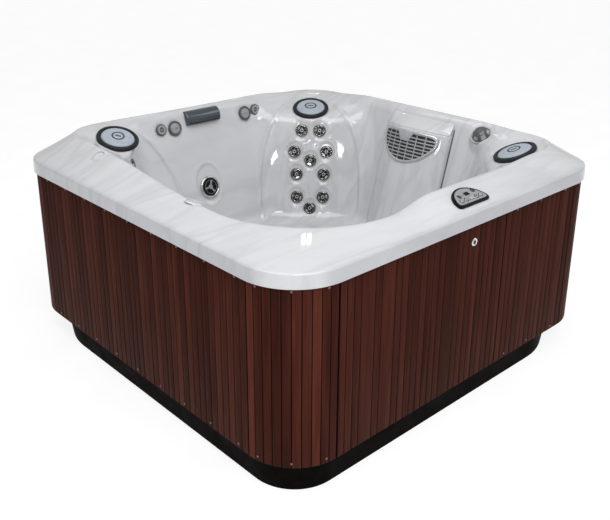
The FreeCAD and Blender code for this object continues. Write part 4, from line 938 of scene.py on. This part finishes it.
# ------------------------------------------------------------------ two shallow glass rests on the left rim
b = Bits()
TOPN = normals(G2)
for x, y in ((-0.838, 0.476), (-0.786, -0.184)):
    k_ = np.argmin(np.where(G2[..., 2] > 0.86, np.hypot(G2[..., 0] - x, G2[..., 1] - y), 9.0))
    o_, n_ = G2.reshape(-1, 3)[k_], TOPN.reshape(-1, 3)[k_]
    m = frame_of(tuple(o_), tuple(n_ if n_[2] > 0 else -n_), (0, 1, 0))
    b.add(lathe([(0.0285, -0.0030), (0.0285, 0.0018), (0.0300, 0.0034), (0.0330, 0.0036), (0.0362, 0.0020), (0.0380, -0.0030)], 56), M["acrylic"], m)
    b.add(lathe([(0.0, -0.0030), (0.0286, -0.0030), (0.0286, 0.0006), (0.0262, 0.0002), (0.0, 0.0006)], 56, False), M["acrylic"], m)
    # narrow dark band inside the ring: painted shadow under the rest's rim
    b.add(lathe([(0.0262, -0.0010), (0.0282, -0.0010), (0.0282, 0.0016), (0.0266, 0.0010)], 56), M["rest_painted_shadow"], m)
piece(b.make("glass_rests", 50), None)

# ------------------------------------------------------------------ headrests
RING = [(0.0846, 0.0004), (0.0846, 0.0168), (0.0860, 0.0190), (0.0890, 0.0199), (0.0955, 0.0197), (0.1006, 0.0176), (0.1038, 0.0135),
        (0.1048, 0.0080), (0.1044, 0.0030), (0.1020, 0.0004)]
PAD = [(0.0, 0.0262), (0.0200, 0.0262), (0.0400, 0.0256), (0.0530, 0.0247), (0.0566, 0.0238), (0.0582, 0.0223), (0.0600, 0.0223), (0.0618, 0.0234),
       (0.0668, 0.0228), (0.0745, 0.0206), (0.0800, 0.0172), (0.0829, 0.0126), (0.0838, 0.0070), (0.0832, 0.0018), (0.0800, 0.0005), (0.0, 0.0005)]
b = Bits()
mk = Bits()
for n, (o_, nz, up) in RESTS.items():
    m = frame_of(o_, nz, up)
    b.add(lathe(RING, 96), M["headrest_ring"], m)
    pad = Bits().add(lathe(PAD, 96, False), M["headrest_pad"], m).make("headrest_%s_pad" % n, 60)
    piece(pad, "headrest_pad_" + n)
    v, f = ring_band(0.0250, 0.0340, 0.0248, 0.0268, 0.0010, 72)
    mk.add(([(x * 1.04, y * 0.96, z) for x, y, z in v], f), M["mark_grey"], m)
    mk.add(bar(*((0.030, 0.011) if n == "back" else (0.011, 0.030)), 0.0250, 0.0270, 0.0008), M["mark_grey"], m)
piece(b.make("headrest_collars", 60), "headrest_rings")
piece(mk.make("headrest_ovals"), None)

# ------------------------------------------------------------------ waterfall spout
pr = np.array([(906, 962), (884, 966), (862, 958), (848, 938), (844, 912), (846, 896), (858, 890), (906, 890)]) / 1000.0
dense = []
for i in range(len(pr)):
    p0, p1, p2 = pr[i - 1], pr[i], pr[(i + 1) % len(pr)]
    k = 0.46 if 1 <= i <= 6 else 0.12
    a, c = p1 + (p0 - p1) * k, p1 + (p2 - p1) * k
    for t in np.linspace(0, 1, 7):
        dense.append((1 - t) ** 2 * a + 2 * t * (1 - t) * p1 + t * t * c)
dense = np.array(dense)
slot_z = (dense[:, 1] > 0.8965) & (dense[:, 1] < 0.9065) & (dense[:, 0] < 0.850)
mid = np.array([0.880, 0.925])
xs = np.concatenate([[-0.083, -0.0822, -0.080], np.linspace(-0.077, 0.133, 24), [0.136, 0.1382, 0.139]])
ins = np.concatenate([[0.0055, 0.0022, 0.0006], np.zeros(24), [0.0006, 0.0022, 0.0055]])
V_ = []
for x, i_ in zip(xs, ins):
    dirs = mid - dense
    dirs /= np.linalg.norm(dirs, axis=1)[:, None]
    pp = dense + dirs * i_
    bow = 0.0025 * math.sin(math.pi * (x + 0.083) / 0.222)
    for y, z in pp:
        V_.append((x, y - (bow if y < 0.88 else 0) + 0.0025, z))
nd = len(dense)
F_ = grid_faces(len(xs), nd, True)
F_.append(tuple(range(nd))[::-1])
F_.append(tuple((len(xs) - 1) * nd + i for i in range(nd)))
b = Bits().add((V_, F_), M["spout"])
# thin near-black strip along the spout's front: painted shade standing in for the outlet slot
sv, sf = bar(0.190, 0.0045, 0.0, 0.0035, 0.0008)
b.add((sv, sf), M["dark"], frame_of((0.028, 0.8440, 0.9010), (0, -1, 0.1), (0, 0, 1)))
piece(b.make("spout_shell", 50), "waterfall_spout")

# ------------------------------------------------------------------ filter column
COL = wall_place("right", 0.0, 0.302)
COL = frame_of((0.860 + (0.302 - 0.860) * LEAN, 0.0, 0.302), (-1 / math.hypot(1, LEAN), 0, LEAN / math.hypot(1, LEAN)), (0, 0, 1))
CT = (0.872 - 0.302) * math.hypot(1, LEAN)
CH, CE, CB = 0.215, 0.030, 0.122
RAD = (CH * CH + (CB - CE) ** 2) / (2 * (CB - CE))


def arc_w(u):
    return np.sqrt(np.maximum(RAD * RAD - np.asarray(u, float) ** 2, 0)) - (RAD - CB)


uu = np.concatenate([[-CH, -CH, -CH], [-CH + 0.0006, -CH + 0.003], np.linspace(-CH + 0.008, CH - 0.008, 60), [CH - 0.003, CH - 0.0006], [CH, CH, CH]])
ww = arc_w(uu)
ww[:3] = [0.001, 0.012, CE - 0.005]
ww[-3:] = [CE - 0.005, 0.012, 0.001]
ww[3], ww[-4] = CE - 0.002, CE - 0.002
vv = np.concatenate([np.linspace(0.0, CT - 0.008, 60), [CT - 0.005, CT - 0.002, CT - 0.0005, CT]])
inset = np.concatenate([np.zeros(60), [0.0002, 0.0008, 0.0018, 0.0030]])
outer = []
for v0, i_ in zip(vv, inset):
    for u0, w0 in zip(uu, ww):
        outer.append((u0 * (1 - i_ / CH), v0, max(0.0005, w0 - i_)))
nu = len(uu)
F_ = grid_faces(len(vv), nu)
o_ = len(outer)
for v0 in (CT, 0.0):
    for u0, w0 in zip(uu, ww):
        outer.append((u0 * 0.972, v0, max(0.0005, w0 - 0.006)))
top, bot = o_, o_ + nu
last_ = (len(vv) - 1) * nu
for c in range(nu - 1):
    F_.append((last_ + c, last_ + c + 1, top + c + 1, top + c))
    F_.append((top + c, top + c + 1, bot + c + 1, bot + c))
    F_.append((bot + c, bot + c + 1, c + 1, c))
piece(Bits().add((outer, F_), M["acrylic"], COL).make("filter_column", 50), "filter_cover")

GH, GY0, GY1 = 0.182, CT - 0.190, CT - 0.012
GK = GY1 - (GY1 - GY0) * 0.30


def d_outline(off, n=120):
    """Round-bellied outline of the grille, corners eased, moved in by off."""
    h, y1 = GH - off, GY1 - off
    y0, k = GY0 + off, GK
    r = ((k - y0) ** 2 + h * h) / (2 * (k - y0))
    pts = [(-h, y1), (h, y1), (h, k)]
    a1 = math.asin(min(1.0, h / r))
    arc = [(r * math.sin(a), y0 + r - r * math.cos(a)) for a in np.linspace(a1, -a1, 40)]
    raw = np.array(pts[:2] + arc)
    out = []
    m_ = len(raw)
    for i in range(m_):
        p, c, q = raw[i - 1], raw[i], raw[(i + 1) % m_]
        big_turn = i in (0, 1, 2, m_ - 1)
        s_ = 0.042 if i in (0, 1) else (0.020 if big_turn else 0.0)
        if s_ == 0:
            out.append(c)
            continue
        s1, s2 = min(s_, 0.45 * np.linalg.norm(p - c)), min(s_, 0.45 * np.linalg.norm(q - c))
        a = c + (p - c) / np.linalg.norm(p - c) * s1
        d_ = c + (q - c) / np.linalg.norm(q - c) * s2
        for t in np.linspace(0, 1, 9):
            out.append((1 - t) ** 2 * a + 2 * t * (1 - t) * c + t * t * d_)
    out = np.array(out)
    seg = np.linalg.norm(np.roll(out, -1, 0) - out, axis=1)
    cum = np.concatenate([[0], np.cumsum(seg)])
    tt = np.linspace(0, cum[-1], n, endpoint=False)
    cl = np.vstack([out, out[:1]])
    return np.stack([np.interp(tt, cum, cl[:, 0]), np.interp(tt, cum, cl[:, 1])], 1)


def on_col(u, v, w):
    u = np.asarray(u, float)
    return np.stack([u, np.broadcast_to(v, u.shape), arc_w(u) + w], -1)


def half_at(outline, v):
    """Lowest and highest u of the outline at height v."""
    a, b_ = outline, np.roll(outline, -1, 0)
    hit = []
    for p, q in zip(a, b_):
        if (p[1] - v) * (q[1] - v) <= 0 and abs(p[1] - q[1]) > 1e-9:
            hit.append(p[0] + (q[0] - p[0]) * (v - p[1]) / (q[1] - p[1]))
    return (min(hit), max(hit)) if hit else (0, 0)


def span_at(outline, u):
    a, b_ = outline, np.roll(outline, -1, 0)
    hit = []
    for p, q in zip(a, b_):
        if (p[0] - u) * (q[0] - u) <= 0 and abs(p[0] - q[0]) > 1e-9:
            hit.append(p[1] + (q[1] - p[1]) * (u - p[0]) / (q[0] - p[0]))
    return (min(hit), max(hit)) if hit else (0, 0)


def strip(path, side, half, w0, w1, c=0.0012):
    """Chamfered strip along a path of (u, v), its width taken along side."""
    path, side = np.asarray(path), np.asarray(side)
    sec = [(-half, w0), (-half, w1 - c), (-half + c, w1), (half - c, w1), (half, w1 - c), (half, w0)]
    v = []
    for p, sd in zip(path, side):
        for a, w in sec:
            q_ = p + sd * a
            v.append(tuple(on_col(np.array([q_[0]]), q_[1], w)[0]))
    f = []
    n = len(path)
    for i in range(n - 1):
        for j in range(6):
            k = (j + 1) % 6
            f.append((i * 6 + j, i * 6 + k, (i + 1) * 6 + k, (i + 1) * 6 + j))
    f.append(tuple(range(6))[::-1])
    f.append(tuple((n - 1) * 6 + j for j in range(6)))
    return v, f


# near-black sheet behind the grille bars: painted shadow standing in for the dark opening
M["grille_painted_shadow"] = speckled("grille_painted_shadow", (0.040, 0.039, 0.038), 0.6, 0.0, 0.5, 30, 0.3, spec=0.1)
b = Bits()
ol, il = d_outline(0.0), d_outline(0.016)
rows_ = []
for off, w in ((0.0, 0.0008), (0.0, 0.0040), (0.0012, 0.0066), (0.0040, 0.0084), (0.0085, 0.0088), (0.0128, 0.0076), (0.0156, 0.0052), (0.0164, 0.0012)):
    l_ = d_outline(off)
    rows_.append(on_col(l_[:, 0], l_[:, 1], w))
V_ = np.concatenate(rows_)
b.add((V_, grid_faces(len(rows_), len(ol), True)), M["frame_silver"], COL)
# sheet of painted shadow filling the grille's inner outline
dl = d_outline(0.0140)
gv, gf = [], []
for r_ in np.linspace(0.0, 1.0, 14)[1:]:
    c_ = np.array([0.0, (GY0 + GY1) / 2 + 0.01])
    l_ = c_ + (dl - c_) * r_
    gv.append(on_col(l_[:, 0], l_[:, 1], 0.0008))
gv = np.concatenate(gv)
gf = grid_faces(13, len(dl), True)
gv = np.vstack([gv, on_col(np.array([0.0]), (GY0 + GY1) / 2 + 0.01, 0.0008)])
gf += [(i, (i + 1) % len(dl), len(gv) - 1) for i in range(len(dl))]
b.add((gv, gf), M["grille_painted_shadow"], COL)
for v0 in np.linspace(GY0 + 0.034, GY1 - 0.034, 7):
    lo_, hi_ = half_at(il, v0)
    u_ = np.linspace(lo_ - 0.003, hi_ + 0.003, 40)
    b.add(strip(np.stack([u_, np.full(40, v0)], 1), np.tile((0.0, 1.0), (40, 1)), 0.0036, 0.0006, 0.0050), M["grille_bar"], COL)
for u0 in np.linspace(-GH + 0.062, GH - 0.062, 6):
    lo_, hi_ = span_at(il, u0)
    v_ = np.linspace(lo_ - 0.003, hi_ + 0.003, 18)
    b.add(strip(np.stack([np.full(18, u0), v_], 1), np.tile((1.0, 0.0), (18, 1)), 0.0026, 0.0006, 0.0042), M["grille_bar"], COL)
u_ = np.linspace(-0.060, 0.060, 30)
tab_v = []
for k, (du, w) in enumerate(((0.0, 0.0010), (0.0, 0.0074), (0.002, 0.0090))):
    for e in (0, 1):
        for x in u_:
            x2 = x * (1 - du / 0.060)
            deep = 0.046 * float(smooth01((0.056 - abs(x)) / 0.034)) + 0.006
            tab_v.append(tuple(on_col(np.array([x2]), GY1 - 0.006 - (deep - du if e else du), w)[0]))
tf = []
n_ = len(u_)
R_ = lambda k, e: (2 * k + e) * n_
for i in range(n_ - 1):
    tf.append((R_(2, 0) + i, R_(2, 0) + i + 1, R_(2, 1) + i + 1, R_(2, 1) + i))
    for e in (0, 1):
        for k in (0, 1):
            tf.append((R_(k, e) + i, R_(k, e) + i + 1, R_(k + 1, e) + i + 1, R_(k + 1, e) + i))
for i in (0, n_ - 1):
    for k in (0, 1):
        tf.append((R_(k, 0) + i, R_(k + 1, 0) + i, R_(k + 1, 1) + i, R_(k, 1) + i))
b.add((tab_v, tf), M["frame_silver"], COL)
piece(b.make("intake_grille", 40), "filter_grille")

# lid on the column, rising to the collar
lu = np.linspace(-1, 1, 56)
prof_ = [(0.0006, 0.0), (0.0050, 0.0), (0.0095, 0.0012), (0.0125, 0.0045), (0.0142, 0.0105)]
rows_ = []
for dv, dw in prof_:
    u0 = lu * (CH - 0.0015 - 0.3 * dw)
    rows_.append(np.stack([u0, np.full(56, CT + dv), np.maximum(arc_w(u0) - 0.002 - dw, 0.004)], 1))
for t in np.linspace(0, 1, 16)[1:]:
    u0 = lu * (CH - 0.0047)
    w0 = np.maximum(arc_w(u0) - 0.0125, 0.004) * (1 - t) + 0.0035 * t
    rows_.append(np.stack([u0, np.full(56, CT + 0.0142 + 0.0555 * t ** 0.92), w0], 1))
rows_.append(np.stack([lu * (CH - 0.0047), np.full(56, CT + 0.0006), np.full(56, 0.0035)], 1))
LV = np.concatenate(rows_)
nrow = len(rows_)
LF = grid_faces(nrow, 56)
for c in range(55):
    LF.append(((nrow - 1) * 56 + c, (nrow - 1) * 56 + c + 1, c + 1, c))
LF.append(tuple(r * 56 for r in range(nrow)))
LF.append(tuple(r * 56 + 55 for r in range(nrow))[::-1])
piece(Bits().add((LV, LF), M["acrylic"], COL).make("filter_column_lid", 50), "filter_lid", body="filter_lid")
# dark strips along both side edges of the column: painted shadow of the gap where the column stands proud of the wall
M["column_gap_painted_shadow"] = speckled("column_gap_painted_shadow", (0.060, 0.062, 0.066), 0.6, 0.0, 0.3, 60, 0.2, spec=0.1)
sm = Bits()
for u0 in (CH + 0.0022, -CH - 0.0022):
    sv, sf = bar(0.0036, CT + 0.040, 0.0002, 0.0040, 0.0008)
    sm.add((sv, sf), M["column_gap_painted_shadow"], COL @ Matrix.Translation((u0, CT / 2 + 0.020, 0)))
piece(sm.make("column_gap_shadows"), None)

# ------------------------------------------------------------------ control panel
CTL = frame_of((0.038, -0.908, 0.91875), (0, -0.33, 0.944), (0, 1, 0))


def panel_outline(off, n=150):
    """Half-moon outline of the panel with eased corners, moved in by off."""
    h, y0, k, y1 = 0.098 - off, -0.052 + off, -0.026, 0.052 - off
    r = (h * h + (y1 - k) ** 2) / (2 * (y1 - k))
    a1 = math.acos((k - (y1 - r)) / r)
    arc = [(r * math.sin(a), y1 - r + r * math.cos(a)) for a in np.linspace(a1, -a1, 41)]
    raw = np.array([(-h, y0), (h, y0)] + arc)
    ease = {0: 0.022, 1: 0.022, 2: 0.010, len(raw) - 1: 0.010}
    out = []
    for i in range(len(raw)):
        p, c, q = raw[i - 1], raw[i], raw[(i + 1) % len(raw)]
        if i not in ease:
            out.append(c)
            continue
        s1, s2 = min(ease[i], 0.48 * np.linalg.norm(p - c)), min(ease[i], 0.48 * np.linalg.norm(q - c))
        a = c + (p - c) / np.linalg.norm(p - c) * s1
        d_ = c + (q - c) / np.linalg.norm(q - c) * s2
        for t in np.linspace(0, 1, 9):
            out.append((1 - t) ** 2 * a + 2 * t * (1 - t) * c + t * t * d_)
    out = np.array(out)
    cl = np.vstack([out, out[:1]])
    cum = np.concatenate([[0], np.cumsum(np.linalg.norm(np.diff(cl, axis=0), axis=1))])
    tt = np.linspace(0, cum[-1], n, endpoint=False)
    return np.stack([np.interp(tt, cum, cl[:, 0]), np.interp(tt, cum, cl[:, 1])], 1)


rows_ = []
for off, z in ((0.0100, 0.0100), (0.0006, 0.0004), (0.0, 0.0030), (0.0, 0.0078), (0.0010, 0.0122), (0.0030, 0.0150), (0.0056, 0.0163), (0.0084, 0.0165),
               (0.0102, 0.0159), (0.0110, 0.0148), (0.0110, 0.0110)):
    l_ = panel_outline(off)
    rows_.append(np.column_stack([l_, np.full(len(l_), z)]))
bz = grid_faces(len(rows_), len(rows_[0]), True)
n_, m_ = len(rows_[0]), len(rows_) - 1
bz += [(m_ * n_ + i, m_ * n_ + (i + 1) % n_, (i + 1) % n_, i) for i in range(n_)]
b = Bits().add((np.concatenate(rows_), bz), M["black_gloss"], CTL)
piece(b.make("panel_bezel", 60), "control_bezel")
set_mat(NODES["control_face"], speckled("face_silver", (0.33, 0.34, 0.355), 0.36, 0.35, 0.06, 70, 0.05))
KEYS = [("button_jets", -46, 4), ("button_light", 52, 14), ("button_pump_one", -60, -22), ("button_pump_two", -32, -22), ("button_mode", 36, -22), ("button_clean", 62, -22)]
b = Bits()
for n, x, y in KEYS:
    b.add(ring_band(0.0074, 0.0108, 0.0140, 0.0157, 0.0003, 36), M["black_gloss"], CTL @ Matrix.Translation((x / 1000, y / 1000, 0)))
for y in (-0.0296, -0.0144):
    b.add(bar(0.0284, 0.0016, 0.0140, 0.0157, 0.0003), M["black_gloss"], CTL @ Matrix.Translation((0.002, y, 0)))
for x in (-0.0122, 0.0162):
    b.add(bar(0.0016, 0.0152, 0.0140, 0.0157, 0.0003), M["black_gloss"], CTL @ Matrix.Translation((x, -0.022, 0)))
for x in (-0.022, -0.017):
    b.add(bar(0.0022, 0.0060, 0.0146, 0.0156, 0.0003), M["black_gloss"], CTL @ Matrix.Translation((x, 0.006, 0)))
piece(b.make("panel_marks"), None)
# small plain signs on the buttons, which travel with them
for k, (n, x, y) in enumerate(KEYS):
    c = CTL @ Matrix.Translation((x / 1000, y / 1000, 0))
    b = Bits()
    if k == 0:
        for i in range(3):
            b.add(bar(0.0012, 0.0060, 0.0160, 0.0173, 0.0002), M["black_gloss"], c @ Matrix.Translation(((i - 1) * 0.0026, 0, 0)))
    elif k == 1:
        b.add(ring_band(0.0018, 0.0032, 0.0160, 0.0173, 0.0003, 24), M["black_gloss"], c)
    elif k in (2, 3):
        for i in range(k - 1):
            b.add(bar(0.0070, 0.0017, 0.0160, 0.0173, 0.0002), M["black_gloss"], c @ Matrix.Translation((0, (i - 0.5 * (k - 2)) * 0.0036, 0)))
    elif k == 4:
        b.add(ring_band(0.0022, 0.0038, 0.0160, 0.0173, 0.0003, 24), M["black_gloss"], c)
        b.add(bar(0.0014, 0.0040, 0.0160, 0.0173, 0.0002), M["black_gloss"], c @ Matrix.Translation((0, 0.0026, 0)))
    else:
        for i in range(2):
            b.add(bar(0.0066, 0.0015, 0.0160, 0.0173, 0.0002), M["black_gloss"], c @ Matrix.Rotation(0.8 + 1.57 * i, 4, "Z"))
    piece(b.make(n + "_sign"), None, body=n)
b = Bits()
for i, x in enumerate((-0.0045, 0.0085)):
    tri = lathe([(0.0, 0.0173), (0.0036, 0.0173), (0.0036, 0.0162), (0.0, 0.0162)], 3, False)
    b.add(tri, M["black_gloss"], CTL @ Matrix.Translation((x, -0.022, 0)) @ Matrix.Rotation(math.radians(90 + 180 * i), 4, "Z"))
piece(b.make("button_temperature_sign"), None, body="button_temperature")

# ------------------------------------------------------------------ lock
LOCK = frame_of((0.003, -0.988, 0.762), (0, -1, 0), (0, 0, 1))
b = Bits().add(lathe([(0.0084, 0.0006), (0.0084, 0.0034), (0.0096, 0.0046), (0.0126, 0.0052), (0.0156, 0.0046), (0.0174, 0.0026), (0.0176, 0.0006)], 56), M["chrome"], LOCK)
piece(b.make("lock_ring"), "lock_bezel", body="access_panel")
set_mat(NODES["lock_barrel"], M["jet_black"])
b = Bits().add(bar(0.0016, 0.0078, 0.0040, 0.0049, 0.0002), M["knob_rim"], LOCK)
piece(b.make("lock_key_slot"), None, body="lock_barrel")

# ------------------------------------------------------------------ carried-over nodes: soft edges
for n in ("base_pan",):
    auto_smooth(NODES[n], 30)
    bevel(NODES[n], 0.006, 3, 40)

# ------------------------------------------------------------------ floor, light, camera
fl = bpy.data.meshes.new("floor")
fl.from_pydata([(-60, -60, 0), (60, -60, 0), (60, 60, 0), (-60, 60, 0)], [], [(0, 1, 2, 3)])
floor = bpy.data.objects.new("floor", fl)
bpy.context.scene.collection.objects.link(floor)
fm, fnt, fb = new_mat("pale_floor")
fn = noise(fnt, coords(fnt), 3.0, 3.0)
fnt.links.new(ramp(fnt, fn, [(0.3, (0.20, 0.20, 0.20)), (0.7, (0.24, 0.24, 0.24))]), fb.inputs["Base Color"])
fb.inputs["Roughness"].default_value = 0.8
fb.inputs["Emission Color"].default_value = (1.0, 1.0, 1.0, 1.0)
fb.inputs["Emission Strength"].default_value = 0.84
fb.inputs["Specular IOR Level"].default_value = 0.1
set_mat(floor, fm)

scene = bpy.context.scene
w = bpy.data.worlds.new("studio")
scene.world = w
w.use_nodes = True
bg = w.node_tree.nodes["Background"]
bg.inputs[0].default_value = (1.0, 1.0, 1.0, 1.0)
bg.inputs[1].default_value = 0.50


def area(name, loc, target, size, power, size_y=None, col=(1, 1, 1)):
    ld = bpy.data.lights.new(name, "AREA")
    ld.energy = power
    ld.size = size
    ld.color = col
    if size_y:
        ld.shape = "RECTANGLE"
        ld.size_y = size_y
    ob = bpy.data.objects.new(name, ld)
    ob.location = loc
    d = Vector(target) - Vector(loc)
    ob.rotation_euler = d.to_track_quat("-Z", "Y").to_euler()
    scene.collection.objects.link(ob)
    return ob


area("key", (-0.8, -1.0, 3.7), (-0.7, -0.8, 0.9), 2.8, 62, 2.4)
area("front", (-2.2, -3.8, 4.4), (0, 0.2, 0.7), 2.0, 68, 1.4)
area("back", (0.5, 2.3, 4.8), (0, 0.3, 0.8), 1.6, 8, 1.0)
area("fill", (3.8, -2.2, 3.6), (0, 0, 0.6), 2.6, 16, 1.6)
low = area("corner", (-2.9, -3.2, 1.3), (-0.87, -0.87, 0.66), 0.6, 1.3, 0.5)
low.data.spread = math.radians(45)
low.data.specular_factor = 0.0
for side in (-1, 1):
    area("pane_%d" % (side + 1), (3.24 + 0.028 * side, 3.43 - 0.027 * side, 3.87), (-0.715, -0.78, 0.90), 0.047, 0.27, 0.098)

cd = bpy.data.cameras.new("photo_camera")
cam = bpy.data.objects.new("photo_camera", cd)
scene.collection.objects.link(cam)
cam.location = (-2.5560, -2.7369, 2.0413)
cam.rotation_euler = (math.radians(90.0 - 20.06), 0.0, math.radians(47.80 - 90.0))
cd.sensor_width = 36.0
cd.sensor_fit = "HORIZONTAL"
cd.lens = 48.20
cd.shift_x = 0.0181
cd.shift_y = -0.0984
scene.camera = cam
scene.view_settings.view_transform = "Standard"
scene.view_settings.look = "None"

bpy.context.view_layer.update()
